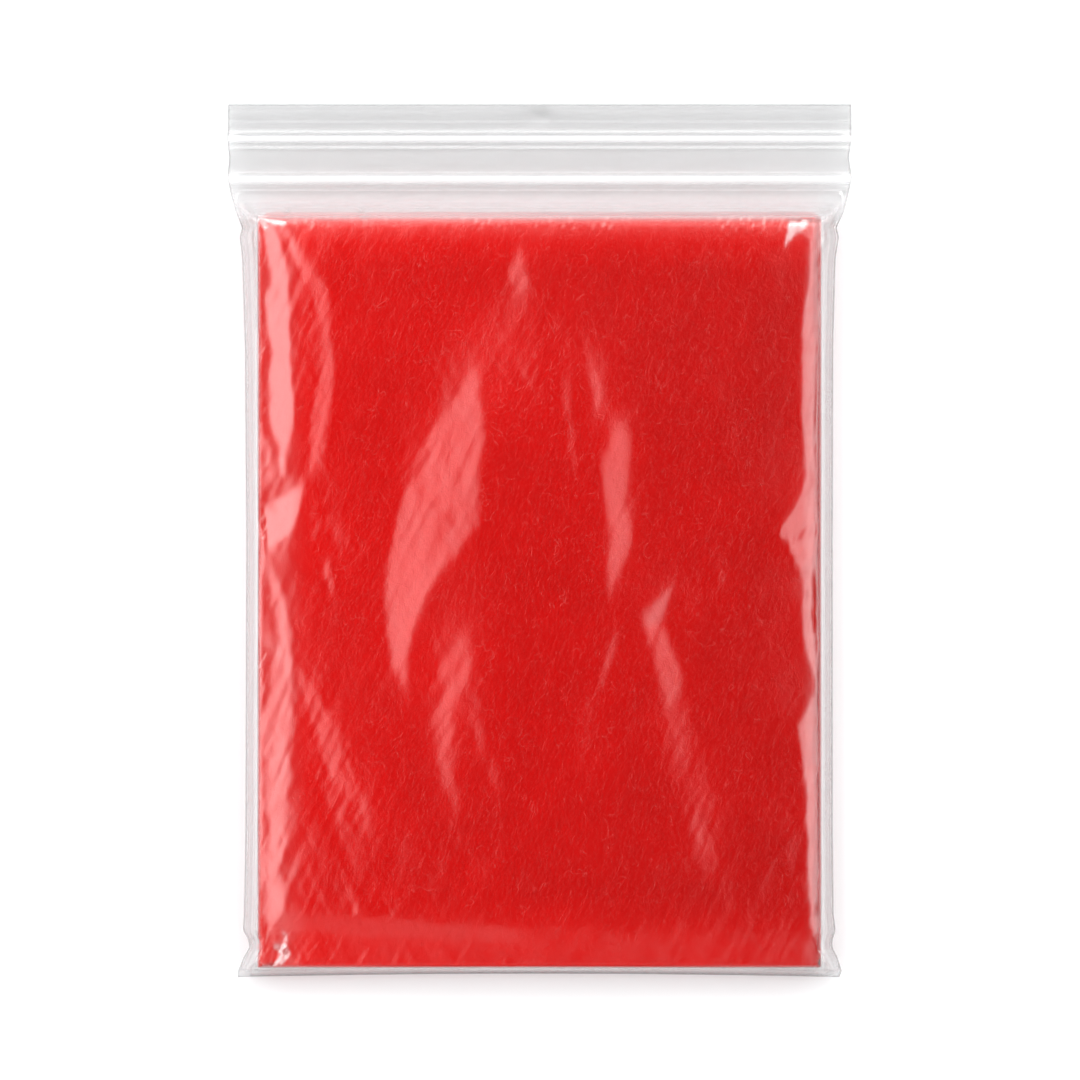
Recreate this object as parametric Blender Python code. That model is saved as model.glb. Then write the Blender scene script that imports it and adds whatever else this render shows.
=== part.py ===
"""A disposable rain poncho, folded into a flat packet and sealed in a clear press-to-close bag.

The packet lies on its back. X runs across it, Y from its foot to the bag's mouth, and Z up.
The origin is the middle of the bag's footprint, on the surface that it lies on.
Lengths below are in millimetres and become metres where the meshes are made.
"""
from collections import namedtuple
from math import cos, pi, sin

import bmesh
import bpy
from mathutils import Vector

MM = 0.001

# ---- driving dimensions ------------------------------------------------------------------
GAP = 0.3                    # between pieces that lie on each other
FILM = 0.6                   # wall of the bag
PANEL = 1.0                  # wall of the poncho's two outer panels

BAG_LENGTH = 181.5           # mouth to foot
PACKET_HALF_WIDTH = 58.5
PACKET_FOOT = -88.6
PACKET_HEAD = 67.3
PACKET_TOP = 12.4            # face of the front panel, without its creases
PACKET_WAIST = 7.0           # height where the front and back panels meet round the sides
SHOULDER_RUN = 5.0           # how far in from the sides the faces start to turn over
SHOULDER_TURNS = (0.25, 0.5, 0.75, 1.0)  # grid lines down a shoulder, as shares of its turn
CORNER_POWER = 4.0           # the packet's corners in plan: 2 is round, more is squarer
HIGHEST_CREASE = 1.0

FOLD_GROOVE = 0.6            # depth of the hollow between two folds of the stack
FOLD_SPARE = 0.2             # room between the stack's sides and the panels round them
FOLD_WAVER = 0.35            # how far a folded edge wanders along its length
FOLD_CORNER = 1.6            # radius of a fold's corners in plan

FLANGE = 1.0                 # width of the welded strip along the bag's sides and foot
SIDE_RUN = 9.0               # how far in from the flange the bag's face starts to fall
FOOT_RUN = 6.6
UNDER_RUN = 7.0
HEAD_FLAT = 63.5             # where the bag's face starts to fall towards the zip
ZIP_START = 72.7             # where both walls of the bag have come together
SIDE_POWER = 4.5             # how late the bag's wall drops at its sides
BAG_CORNER = 6.0             # how square the bag's face stays towards its corners

TRACK_HEIGHTS = (75.2, 83.6)  # the two zip tracks, measured along Y
TRACK_WIDTH = 1.5
TRACK_DEPTH = 1.0
TRACK_HALF_LENGTH = 62.5
TRACK_FLAT = 1.0             # half width of the ridge that a track raises in each wall
TRACK_SPREAD = 2.4           # half width of the ridge's foot
TRACK_SIDES = 8

FLAT_STEPS = 10              # grid steps along the bag's flat, and across each half of it
HEAD_STEPS = 6               # grid steps down from the bag's flat to the zip
FALL_SHARES = (0.1, 0.22, 0.4, 0.65)  # grid lines up from the flange, as shares of the fall

# Places along a zip track, from -1 to 1, and its size there
Station = namedtuple("Station", "along size")
TRACK_STATIONS = (
    Station(-1.0, 0.45),
    Station(-0.985, 1.0),
    Station(0.0, 1.0),
    Station(0.985, 1.0),
    Station(1.0, 0.45),
)

# The bag's outline from foot to mouth, and the height of the seam that joins its walls
Outline = namedtuple("Outline", "up half_width seam")
OUTLINE = (
    Outline(-90.75, 62.9, 5.2),
    Outline(-89.5, 62.8, 5.5),
    Outline(-86.5, 61.6, 5.9),
    Outline(-84.0, 60.8, 6.1),
    Outline(-80.5, 61.4, 6.2),
    Outline(-74.0, 61.2, 6.2),
    Outline(-60.0, 60.9, 6.2),
    Outline(30.0, 60.9, 6.2),
    Outline(50.0, 61.2, 6.1),
    Outline(56.5, 61.6, 6.0),
    Outline(62.5, 62.3, 5.9),
    Outline(69.5, 63.9, 5.6),
    Outline(72.5, 64.5, 5.4),
    Outline(75.2, 65.1, 5.2),
    Outline(79.4, 64.7, 4.7),
    Outline(83.6, 65.2, 4.2),
    Outline(90.75, 65.0, 3.4),
)

# The front panel's free edge on the right, where the folded layers show beside it
FreeEdge = namedtuple("FreeEdge", "up reach")
FREE_EDGE = (
    FreeEdge(-88.6, 55.6),
    FreeEdge(-72.0, 55.4),
    FreeEdge(-46.0, 54.6),
    FreeEdge(-38.8, 53.6),
    FreeEdge(-30.0, 55.8),
    FreeEdge(-8.0, 54.6),
    FreeEdge(1.3, 50.2),
    FreeEdge(11.0, 54.8),
    FreeEdge(40.0, 54.6),
    FreeEdge(67.3, 55.6),
)

# Main creases of the front panel: straight soft ridges, or troughs where the rise is negative
Crease = namedtuple("Crease", "name x0 y0 x1 y1 half_width rise")
CREASES = (
    Crease("head spire", -4.0, 61.0, -6.0, 28.0, 4.5, 0.7),
    Crease("long leaf, upper", -14.0, 36.0, -24.0, 4.0, 6.0, 0.9),
    Crease("long leaf, lower", -22.0, 10.0, -29.0, -30.0, 6.5, 1.0),
    Crease("centre trough", 8.5, 41.0, 10.5, -21.0, 4.0, -0.4),
    Crease("centre blade", 15.0, 28.0, 16.5, -11.0, 3.6, 0.9),
    Crease("short spur", 15.2, -19.0, 12.6, -32.0, 3.2, 0.6),
    Crease("star, arm", 19.5, -15.5, 29.0, -7.5, 3.4, 0.7),
    Crease("star, tail", 22.5, -12.0, 35.5, -66.0, 4.4, 0.9),
    Crease("lower pleat", -17.5, -16.0, -21.5, -52.0, 4.4, 0.7),
    Crease("left diagonal", -49.0, -26.0, -38.5, -54.0, 4.2, 0.7),
    Crease("left band, upper", -51.5, 62.0, -51.0, 17.0, 4.0, 0.7),
    Crease("left band, inner", -44.0, 62.0, -43.5, 15.0, 4.2, 0.5),
    Crease("left star", -54.5, 6.0, -48.0, 10.0, 3.6, 0.9),
    Crease("left band, lower", -52.0, -2.0, -51.0, -78.0, 3.6, 0.7),
    Crease("foot pleat", 12.0, -78.0, 24.0, -84.0, 3.4, 0.6),
)

# The folded stack, a lobe for each fold from the lowest up: how far in its open edge lies on
# the right, above the waist, and where in its rounded-off stretch of waver it starts
Fold = namedtuple("Fold", "right_step phase")
FOLDS = (
    Fold(0.0, 0.0),
    Fold(0.3, 2.1),
    Fold(0.5, 4.2),
    Fold(1.3, 6.3),
    Fold(2.6, 8.4),
)

# One fold's edge in section: share of its height, and share of the groove's depth
FoldLevel = namedtuple("FoldLevel", "share groove")
FOLD_SECTION = (
    FoldLevel(0.06, 1.0),
    FoldLevel(0.3, 0.25),
    FoldLevel(0.5, 0.0),
    FoldLevel(0.7, 0.25),
    FoldLevel(0.94, 1.0),
)

# Grid line of a sheet: its share of the way across the flat, how far it has turned over the
# edge from 0 to 1, and the side of that edge, -1 for left or foot and 1 for right or head
Line = namedtuple("Line", "share turn side")


# ---- shared helpers ------------------------------------------------------------------------
def table_value(rows, up, column):
    """A column of a table read at a height, straight between its rows."""
    rows = sorted(rows, key=lambda row: row.up)
    if up <= rows[0].up:
        return getattr(rows[0], column)
    for low, high in zip(rows, rows[1:]):
        if up <= high.up:
            share = (up - low.up) / (high.up - low.up)
            return getattr(low, column) + share * (getattr(high, column) - getattr(low, column))
    return getattr(rows[-1], column)


def grid_lines(flat_count, low_turns=(), high_turns=()):
    """The grid lines in one direction: up the low edge, across the flat and down the high one."""
    lines = [Line(0.0, turn, -1) for turn in sorted(low_turns, reverse=True)]
    lines += [Line(index / flat_count, 0.0, 0) for index in range(flat_count + 1)]
    lines += [Line(1.0, turn, 1) for turn in sorted(high_turns)]
    return lines


def make_material(name, colour, roughness, alpha=1.0):
    """A plain material with the piece's colour and shine."""
    material = bpy.data.materials.new(name)
    material.use_nodes = True
    shader = material.node_tree.nodes["Principled BSDF"]
    shader.inputs["Base Color"].default_value = (*colour, 1.0)
    shader.inputs["Roughness"].default_value = roughness
    shader.inputs["Metallic"].default_value = 0.0
    shader.inputs["Alpha"].default_value = alpha
    return material


def finish_object(name, mesh_data, material):
    """Close a mesh's normals, scale it to metres and add it to the scene as one smooth piece."""
    bmesh.ops.recalc_face_normals(mesh_data, faces=mesh_data.faces)
    bmesh.ops.scale(mesh_data, vec=(MM, MM, MM), verts=mesh_data.verts)
    mesh = bpy.data.meshes.new(name)
    mesh_data.to_mesh(mesh)
    mesh_data.free()
    mesh.materials.append(material)
    mesh.shade_smooth()
    mesh.set_sharp_from_angle(angle=pi / 5)
    piece = bpy.data.objects.new(name, mesh)
    bpy.context.scene.collection.objects.link(piece)
    return piece


def rim_of(grid):
    """The vertices round the edge of a grid, in order."""
    right = [row[-1] for row in grid[1:-1]]
    left = [row[0] for row in grid[-2:0:-1]]
    return grid[0] + right + grid[-1][::-1] + left


def join_rings(mesh_data, rings):
    """Skin a stack of rings of vertices into one closed body, with a cap at each end."""
    for low, high in zip(rings, rings[1:]):
        for here in range(len(low)):
            there = (here + 1) % len(low)
            mesh_data.faces.new((low[here], low[there], high[there], high[here]))
    mesh_data.faces.new(rings[0][::-1])
    mesh_data.faces.new(rings[-1])


def wall_between(name, outer, inner, material):
    """A closed wall from two grids of points, with the grids' edges joined by a rim."""
    mesh_data = bmesh.new()
    outer_verts = [[mesh_data.verts.new(point) for point in row] for row in outer]
    inner_verts = [[mesh_data.verts.new(point) for point in row] for row in inner]
    for verts in (outer_verts, inner_verts):
        for low, high in zip(verts, verts[1:]):
            for left in range(len(low) - 1):
                mesh_data.faces.new((low[left], low[left + 1], high[left + 1], high[left]))
    outer_rim, inner_rim = rim_of(outer_verts), rim_of(inner_verts)
    for here in range(len(outer_rim)):
        there = (here + 1) % len(outer_rim)
        mesh_data.faces.new((outer_rim[here], outer_rim[there], inner_rim[there], inner_rim[here]))
    return finish_object(name, mesh_data, material)


# ---- the folded packet ---------------------------------------------------------------------
def crease_rise(x, y):
    """How far the front panel's creases lift it at a point."""
    rise = 0.0
    for crease in CREASES:
        start = Vector((crease.x0, crease.y0))
        run = Vector((crease.x1, crease.y1)) - start
        along = (Vector((x, y)) - start).dot(run) / run.length_squared
        along = min(max(along, 0.0), 1.0)
        away = (Vector((x, y)) - start - along * run).length / crease.half_width
        if away < 1.0:
            taper = 0.35 + 0.65 * sin(pi * along)
            lift = crease.rise * taper * (1.0 - away * away) ** 2
            rise = max(rise, lift) if lift > 0 else rise + lift
    return min(rise, HIGHEST_CREASE)


def panel_point(column, row, face, rim, inset, right_edge=None):
    """A point of a panel that lies on the packet and turns over its shoulders.

    face and rim are the heights of the flat and of the panel's edge, and inset is how far
    the point lies inside the packet's outer surface. With right_edge, the flat ends there.
    """
    run = SHOULDER_RUN - inset
    fall = abs(face - rim) - inset
    direction = 1.0 if face > rim else -1.0
    turn = max(column.turn, row.turn)
    spread = (column.turn ** CORNER_POWER + row.turn ** CORNER_POWER) ** (1.0 / CORNER_POWER)
    out = run * sin(turn * pi / 2) / spread if turn else 0.0

    foot = PACKET_FOOT + SHOULDER_RUN
    head = PACKET_HEAD - SHOULDER_RUN
    y = foot + row.share * (head - foot) + row.side * out * row.turn
    left = SHOULDER_RUN - PACKET_HALF_WIDTH
    right = -left if right_edge is None else table_value(right_edge, y, "reach")
    x = left + column.share * (right - left) + column.side * out * column.turn
    z = face - direction * (inset + fall * (1.0 - cos(turn * pi / 2)))
    return Vector((x, y, z))


def panel_grid(columns, rows, face, rim, inset, right_edge=None):
    """All the points of one surface of a panel, row by row."""
    return [
        [panel_point(column, row, face, rim, inset, right_edge) for column in columns]
        for row in rows
    ]


def make_front_panel(material):
    """The panel that shows: over the left, foot and head shoulders, with a free right edge."""
    columns = grid_lines(40, low_turns=SHOULDER_TURNS)
    rows = grid_lines(50, low_turns=SHOULDER_TURNS, high_turns=SHOULDER_TURNS)
    rim = PACKET_WAIST + GAP / 2
    outer, inner = (
        panel_grid(columns, rows, PACKET_TOP, rim, inset, FREE_EDGE) for inset in (0.0, PANEL)
    )
    for points in outer:
        for point in points:
            if point.z > PACKET_TOP - 1e-6:
                point.z += crease_rise(point.x, point.y)
    return wall_between("body_front_panel", outer, inner, material)


def make_back_panel(material):
    """The panel underneath, flat where the packet lies on it and turned up all round."""
    columns = grid_lines(6, low_turns=SHOULDER_TURNS, high_turns=SHOULDER_TURNS)
    rows = grid_lines(8, low_turns=SHOULDER_TURNS, high_turns=SHOULDER_TURNS)
    rim = PACKET_WAIST - GAP / 2
    outer, inner = (
        panel_grid(columns, rows, FILM + GAP, rim, inset) for inset in (0.0, PANEL)
    )
    return wall_between("body_back_panel", outer, inner, material)


def fold_ring(z, left, right, foot, head, phase):
    """One level of the folded stack: a rectangle with round corners and wavering sides."""
    corner_steps = 3
    side_steps = (9, 13, 9, 13)
    corners = (
        (right - FOLD_CORNER, head - FOLD_CORNER),
        (left + FOLD_CORNER, head - FOLD_CORNER),
        (left + FOLD_CORNER, foot + FOLD_CORNER),
        (right - FOLD_CORNER, foot + FOLD_CORNER),
    )
    points = []
    for index, (x, y) in enumerate(corners):
        for step in range(corner_steps + 1):
            angle = (index + step / corner_steps) * pi / 2
            points.append(Vector((x + FOLD_CORNER * cos(angle), y + FOLD_CORNER * sin(angle), z)))
        outward = Vector((cos((index + 1) * pi / 2), sin((index + 1) * pi / 2), 0.0))
        here = points[-1]
        there = Vector((*corners[(index + 1) % 4], z)) + FOLD_CORNER * outward
        for step in range(1, side_steps[index]):
            share = step / side_steps[index]
            wave = 0.5 + 0.5 * sin(7.0 * share * (index + 1.7) + phase)
            points.append(here.lerp(there, share) - FOLD_WAVER * sin(pi * share) * wave * outward)
    return points


def shoulder_inset(z, inset):
    """How far in from the packet's sides its panels' inner surface lies at a height."""
    face = PACKET_TOP if z > PACKET_WAIST else FILM + GAP
    fall = abs(face - PACKET_WAIST) - inset
    level = min(max((abs(face - z) - inset) / fall, 0.0), 1.0)
    return SHOULDER_RUN - (SHOULDER_RUN - inset) * (1.0 - (1.0 - level) ** 2) ** 0.5


def make_folded_layers(material):
    """The stack inside: body, hood and sleeves, folded up, with a lobe for each fold's edge."""
    bottom = FILM + GAP + PANEL + GAP
    top = PACKET_TOP - PANEL - GAP
    wall = PANEL + GAP + FOLD_SPARE
    lobe = (top - bottom) / len(FOLDS)
    levels = [(index, fold, level) for index, fold in enumerate(FOLDS) for level in FOLD_SECTION]
    mesh_data = bmesh.new()
    rings = []
    for index, fold, level in levels:
        z = bottom + (index + level.share) * lobe
        if level is levels[0][2] and index == 0:
            z = bottom
        if level is levels[-1][2] and fold is FOLDS[-1]:
            z = top
        groove = level.groove * FOLD_GROOVE
        inset = shoulder_inset(z, wall) + groove
        right_inset = fold.right_step + groove if z > PACKET_WAIST + GAP else inset + GAP
        ring = fold_ring(
            z, inset - PACKET_HALF_WIDTH, PACKET_HALF_WIDTH - right_inset,
            PACKET_FOOT + inset, PACKET_HEAD - inset, fold.phase,
        )
        rings.append([mesh_data.verts.new(point) for point in ring])
    join_rings(mesh_data, rings)
    return finish_object("folded_layers", mesh_data, material)


# ---- the clear bag -------------------------------------------------------------------------
def ease(share):
    """A smooth start and stop from 0 to 1."""
    share = min(max(share, 0.0), 1.0)
    return share * share * (3.0 - 2.0 * share)


def track_ridge(y):
    """From 0 to 1, how far a zip track spreads the bag's walls at a height."""
    ridge = 0.0
    for track in TRACK_HEIGHTS:
        away = abs(y - track)
        ridge = max(ridge, 1.0 - ease((away - TRACK_FLAT) / (TRACK_SPREAD - TRACK_FLAT)))
    return ridge


def bag_rows(foot_run):
    """Heights of the bag's grid lines, from the foot's flange to the mouth."""
    foot = -BAG_LENGTH / 2
    shoulder_foot = foot + FLANGE
    flat_foot = shoulder_foot + foot_run
    rows = [foot, shoulder_foot]
    rows += [shoulder_foot + share * foot_run for share in FALL_SHARES]
    rows += [flat_foot + step / FLAT_STEPS * (HEAD_FLAT - flat_foot) for step in range(FLAT_STEPS)]
    rows += [
        HEAD_FLAT + step / HEAD_STEPS * (ZIP_START - HEAD_FLAT) for step in range(HEAD_STEPS + 1)
    ]
    middle = (TRACK_FLAT + TRACK_SPREAD) / 2
    for track in TRACK_HEIGHTS:
        for away in (TRACK_FLAT, middle, TRACK_SPREAD):
            rows += [track - away, track + away]
    rows.append(BAG_LENGTH / 2)
    return sorted(rows)


def bag_columns(half_width, side_run):
    """Places of the bag's grid lines across one row, from the left flange to the right one."""
    inner_edge = half_width - FLANGE
    flat_edge = inner_edge - side_run
    right = [flat_edge * step / FLAT_STEPS for step in range(1, FLAT_STEPS + 1)]
    right += [inner_edge - share * side_run for share in reversed(FALL_SHARES)]
    right += [inner_edge, half_width]
    return [-x for x in reversed(right)] + [0.0] + right


def bag_fall(x, y, half_width, side_run, foot_run):
    """From 0 on the flat to 1 at the seam, how far the bag's wall has fallen at a point."""
    side = max((abs(x) - (half_width - FLANGE - side_run)) / side_run, 0.0)
    foot = max((-BAG_LENGTH / 2 + FLANGE + foot_run - y) / foot_run, 0.0)
    edge = min((side ** BAG_CORNER + foot ** BAG_CORNER) ** (1.0 / BAG_CORNER), 1.0)
    head = ease((y - HEAD_FLAT) / (ZIP_START - HEAD_FLAT))
    return 1.0 - (1.0 - edge ** SIDE_POWER) * (1.0 - head)


def moved_in(grid, depth):
    """The same grid moved in along its normals, or straight along Z at its cut edges."""
    moved = []
    for row, points in enumerate(grid):
        moved_points = []
        for column, point in enumerate(points):
            normal = Vector((0.0, 0.0, 1.0))
            if 0 < row < len(grid) - 1 and 0 < column < len(points) - 1:
                across = points[column + 1] - points[column - 1]
                upward = grid[row + 1][column] - grid[row - 1][column]
                normal = across.cross(upward).normalized()
            moved_points.append(point - depth * normal)
        moved.append(moved_points)
    return moved


def make_bag_wall(name, face, direction, side_run, foot_run, material):
    """One wall of the bag: flat over the packet, down to the seam, and ridged at the zip.

    direction is 1 for the front wall and -1 for the back one, whose flat lies on the surface.
    """
    outer = []
    for y in bag_rows(foot_run):
        half_width = table_value(OUTLINE, y, "half_width")
        seam = table_value(OUTLINE, y, "seam") + direction * (GAP / 2 + FILM)
        ridge = direction * track_ridge(y) * (TRACK_DEPTH + GAP) / 2
        points = []
        for x in bag_columns(half_width, side_run):
            fall = bag_fall(x, y, half_width, side_run, foot_run)
            points.append(Vector((x, y, face + fall * (seam - face) + ridge)))
        outer.append(points)
    return wall_between(name, outer, moved_in(outer, direction * FILM), material)


def make_zip_track(name, y, material):
    """A rib pressed into its channel: a long bar between the bag's walls, pinched at its ends."""
    seam = table_value(OUTLINE, y, "seam")
    corner = 1.0 / cos(pi / TRACK_SIDES)
    mesh_data = bmesh.new()
    rings = []
    for station in TRACK_STATIONS:
        ring = []
        for side in range(TRACK_SIDES):
            angle = (side + 0.5) / TRACK_SIDES * 2 * pi
            ring.append(mesh_data.verts.new((
                station.along * TRACK_HALF_LENGTH,
                y + station.size * TRACK_WIDTH / 2 * corner * cos(angle),
                seam + station.size * TRACK_DEPTH / 2 * corner * sin(angle),
            )))
        rings.append(ring)
    join_rings(mesh_data, rings)
    return finish_object(name, mesh_data, material)


# ---- assembly ------------------------------------------------------------------------------
def build():
    """Model the packet, then the bag round it."""
    for leftover in list(bpy.data.objects):
        bpy.data.objects.remove(leftover, do_unlink=True)

    red = (0.68, 0.008, 0.007)
    clear = (0.86, 0.86, 0.86)
    make_front_panel(make_material("red_polythene_front", red, 0.38))
    make_back_panel(make_material("red_polythene_back", red, 0.38))
    make_folded_layers(make_material("red_polythene_layers", red, 0.42))

    packet_face = PACKET_TOP + HIGHEST_CREASE
    make_bag_wall(
        "bag_front_wall", packet_face + GAP + FILM, 1, SIDE_RUN, FOOT_RUN,
        make_material("clear_polythene_front", clear, 0.1, 0.25),
    )
    make_bag_wall(
        "bag_back_wall", 0.0, -1, UNDER_RUN, UNDER_RUN,
        make_material("clear_polythene_back", clear, 0.1, 0.25),
    )
    for place, y in zip(("lower", "upper"), TRACK_HEIGHTS):
        make_zip_track(
            f"zip_track_{place}", y, make_material(f"clear_zip_{place}", clear, 0.2, 0.45)
        )


build()
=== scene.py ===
# %% [markdown]
# # A folded rain poncho in its clear bag
#
# A disposable poncho is one long sheet of thin red polythene, folded again and again into a flat
# packet and slipped into a clear bag with a press-to-close zip. This notebook dresses the plain
# CAD model of it. The CAD gives the places and sizes, and each cell below adds one piece or one
# finish on top of them, seen from straight above as it lies on a white table.

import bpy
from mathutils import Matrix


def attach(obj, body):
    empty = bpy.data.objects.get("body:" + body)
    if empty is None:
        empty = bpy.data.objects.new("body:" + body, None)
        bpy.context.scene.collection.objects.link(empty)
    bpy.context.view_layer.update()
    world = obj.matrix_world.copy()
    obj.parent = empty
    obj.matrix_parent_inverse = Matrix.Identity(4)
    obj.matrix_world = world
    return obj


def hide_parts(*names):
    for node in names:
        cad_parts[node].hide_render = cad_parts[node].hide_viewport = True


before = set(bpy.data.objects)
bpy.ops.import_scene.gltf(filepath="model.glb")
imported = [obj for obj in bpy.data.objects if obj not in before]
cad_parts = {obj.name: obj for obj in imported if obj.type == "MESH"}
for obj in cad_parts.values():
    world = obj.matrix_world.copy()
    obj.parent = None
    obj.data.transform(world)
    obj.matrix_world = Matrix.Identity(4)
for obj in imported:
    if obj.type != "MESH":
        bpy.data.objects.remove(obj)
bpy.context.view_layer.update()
print("CAD nodes:", sorted(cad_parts))

# %% Shared tools
from collections import namedtuple
from math import cos, pi, radians, sin

import bmesh
import bpy
import numpy as np
from mathutils import Vector

MM = 0.001
BODY = "root"


def linear(colour):
    """An sRGB hex colour as linear red, green, blue and alpha."""
    channels = [int(colour[i:i + 2], 16) / 255 for i in (0, 2, 4)]
    return [c / 12.92 if c <= 0.04045 else ((c + 0.055) / 1.055) ** 2.4 for c in channels] + [1.0]


def add(tree, kind, settings=None, **inputs):
    """Adds a node, with its settings and its inputs: each a value, or another node's output."""
    node = tree.nodes.new(kind)
    for name, value in (settings or {}).items():
        setattr(node, name, value)
    for name, value in inputs.items():
        key = int(name[1:]) if name[1:].isdigit() else name.replace("_", " ")
        socket = node.inputs[key]
        if isinstance(value, bpy.types.NodeSocket):
            tree.links.new(value, socket)
        else:
            socket.default_value = value
    return node


def maths(tree, operation, *values, **settings):
    """Adds a math node on values or other nodes' outputs, and gives its output."""
    inputs = {f"_{index}": value for index, value in enumerate(values)}
    return add(tree, "ShaderNodeMath", {"operation": operation, **settings}, **inputs).outputs[0]


def read_mark(tree, name):
    """Adds a node that reads a mark kept at the mesh's points, and gives its value."""
    return add(tree, "ShaderNodeAttribute", {"attribute_name": name}).outputs["Fac"]


def put(name, data):
    """A new object in the scene."""
    thing = bpy.data.objects.new(name, data)
    bpy.context.scene.collection.objects.link(thing)
    return thing


def ease(share):
    """A smooth start and stop from 0 to 1."""
    share = np.clip(share, 0.0, 1.0)
    return share * share * (3.0 - 2.0 * share)


# %% [markdown]
# ## The camera
#
# The photograph looks straight down from far away, so the packet's sides don't show. A long lens
# well above the table does the same. The top of the picture is the mouth of the bag, along +Y.

# %% Place the camera
FRAME_WIDTH = 224.1          # mm across the picture at the height of the packet
FRAME_HEIGHT_AT = 8.0        # mm above the table, where that width is measured
LENS = 250.0

camera_data = bpy.data.cameras.new("camera")
camera_data.lens = LENS
camera_data.sensor_width = 36.0
camera = put("camera", camera_data)
distance = FRAME_WIDTH * LENS / camera_data.sensor_width
camera.location = Vector((0.1, 0.1, FRAME_HEIGHT_AT + distance)) * MM
bpy.context.scene.camera = camera
bpy.context.scene.view_settings.view_transform = "Standard"
bpy.context.scene.cycles.transparent_max_bounces = 24
print(f"camera {distance / 1000:.2f} m above the packet")

# %% [markdown]
# ## Table and light
#
# Glossy film is dark where it mirrors nothing and bright where it mirrors a lamp. Two tall soft
# boxes stand to the left and right, a short way off the zenith, so flat film stays deep red
# and every crease that leans to a side lights up. A box behind the mouth lays a faint shadow
# along the foot. The sky is dark overhead and pale round the horizon, as in a white studio.

# %% Table, soft boxes and sky
def soft_box(name, place, aim, size, radiance):
    """A soft box, brightest at its middle, as three nested rectangles that face a point.

    size is its length and its width, and radiance the brightness of its middle, with paper at 1.
    """
    facing = Vector(place) - Vector(aim)
    for ring, (share, part) in enumerate(((1.0, 0.22), (0.72, 0.38), (0.42, 0.40))):
        lamp = bpy.data.lights.new(f"{name}_{ring}", "AREA")
        lamp.shape = "RECTANGLE"
        lamp.size, lamp.size_y = size[0] * (0.8 + 0.2 * share), size[1] * share
        lamp.energy = part * radiance * pi * lamp.size * lamp.size_y
        holder = put(lamp.name, lamp)
        holder.location = Vector(place) - 0.005 * ring * facing
        holder.rotation_euler = facing.to_track_quat("Z", "Y").to_euler()
        holder.visible_camera = False


soft_box("soft_box_left", (-0.42, 0.18, 0.74), (0.0, 0.18, 0.0), (0.95, 0.66), 4.05)
soft_box("soft_box_right", (0.42, 0.18, 0.74), (0.0, 0.18, 0.0), (0.95, 0.66), 3.5)
soft_box("soft_box_mouth", (0.0, 0.42, 0.78), (0.0, 0.0, 0.0), (0.80, 0.34), 3.6)
soft_box("soft_box_foot", (0.0, -0.42, 0.80), (0.0, 0.0, 0.0), (0.60, 0.34), 1.4)

world = bpy.data.worlds.new("studio")
world.use_nodes = True
sky = world.node_tree
direction = add(sky, "ShaderNodeTexCoord").outputs["Generated"]
height = add(sky, "ShaderNodeSeparateXYZ", Vector=direction).outputs["Z"]
ramp = add(sky, "ShaderNodeValToRGB", Fac=height)
ramp.color_ramp.elements[0].position = 0.25
ramp.color_ramp.elements[0].color = (0.85, 0.85, 0.86, 1.0)
ramp.color_ramp.elements[1].position = 0.85
ramp.color_ramp.elements[1].color = (0.0, 0.0, 0.0, 1.0)
sky.links.new(ramp.outputs["Color"], sky.nodes["Background"].inputs["Color"])
bpy.context.scene.world = world

floor_mesh = bpy.data.meshes.new("floor")
floor_mesh.from_pydata([(-3, -3, 0), (3, -3, 0), (3, 3, 0), (-3, 3, 0)], [], [(0, 1, 2, 3)])
floor = put("floor", floor_mesh)
floor.location.z = -0.1 * MM  # a hair below the film, or the two would flicker
paper = bpy.data.materials.new("matt_white_table")
paper.use_nodes = True
paper_shader = paper.node_tree.nodes["Principled BSDF"]
for name, value in (("Base Color", linear("F0F1F2")), ("Roughness", 0.9),
                    ("Emission Color", linear("FFFFFF")), ("Emission Strength", 0.15)):
    paper_shader.inputs[name].default_value = value
floor_mesh.materials.append(paper)

# %% [markdown]
# ## How the creases are drawn
#
# What the eye reads as a crease in shiny film is a patch that leans to one side. So each main
# crease is drawn here as such a patch: its outline in millimetres, and how steeply it leans. One
# height map is then found whose slopes follow all the patches at once, as a sheet would, with a
# long gentle slope back on the far side. It is the classic Poisson equation, solved with a
# Fourier transform on a fine grid.

# %% The grid and its tools
STEP = 0.3
GRID_X = np.arange(-72.0, 72.0, STEP)
GRID_Y = np.arange(-96.0, 96.0, STEP)
PLACE_X, PLACE_Y = np.meshgrid(GRID_X, GRID_Y)
WAVE_X, WAVE_Y = np.meshgrid(np.fft.fftfreq(len(GRID_X), STEP), np.fft.fftfreq(len(GRID_Y), STEP))


def height_from_slopes(slope_x, slope_y):
    """The height map whose slopes come nearest to the given ones."""
    turn_x, turn_y = 2j * pi * WAVE_X, 2j * pi * WAVE_Y
    size = np.abs(turn_x) ** 2 + np.abs(turn_y) ** 2
    size[0, 0] = 1.0
    spread = np.conj(turn_x) * np.fft.fft2(slope_x) + np.conj(turn_y) * np.fft.fft2(slope_y)
    return np.fft.ifft2(spread / size).real


def streaks(angle, length, width, seed):
    """Random streaks along a direction in degrees, with a spread of 1."""
    turned = radians(angle)
    along = WAVE_X * cos(turned) + WAVE_Y * sin(turned)
    across = WAVE_Y * cos(turned) - WAVE_X * sin(turned)
    keep = np.exp(-(along * length * 1.5) ** 2 - (across * width * 1.5) ** 2)
    keep *= 1.0 - np.exp(-(across * width * 4.0) ** 2)
    noise = np.random.default_rng(seed).standard_normal(PLACE_X.shape)
    field = np.fft.ifft2(np.fft.fft2(noise) * keep).real
    return field / field.std()


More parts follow.
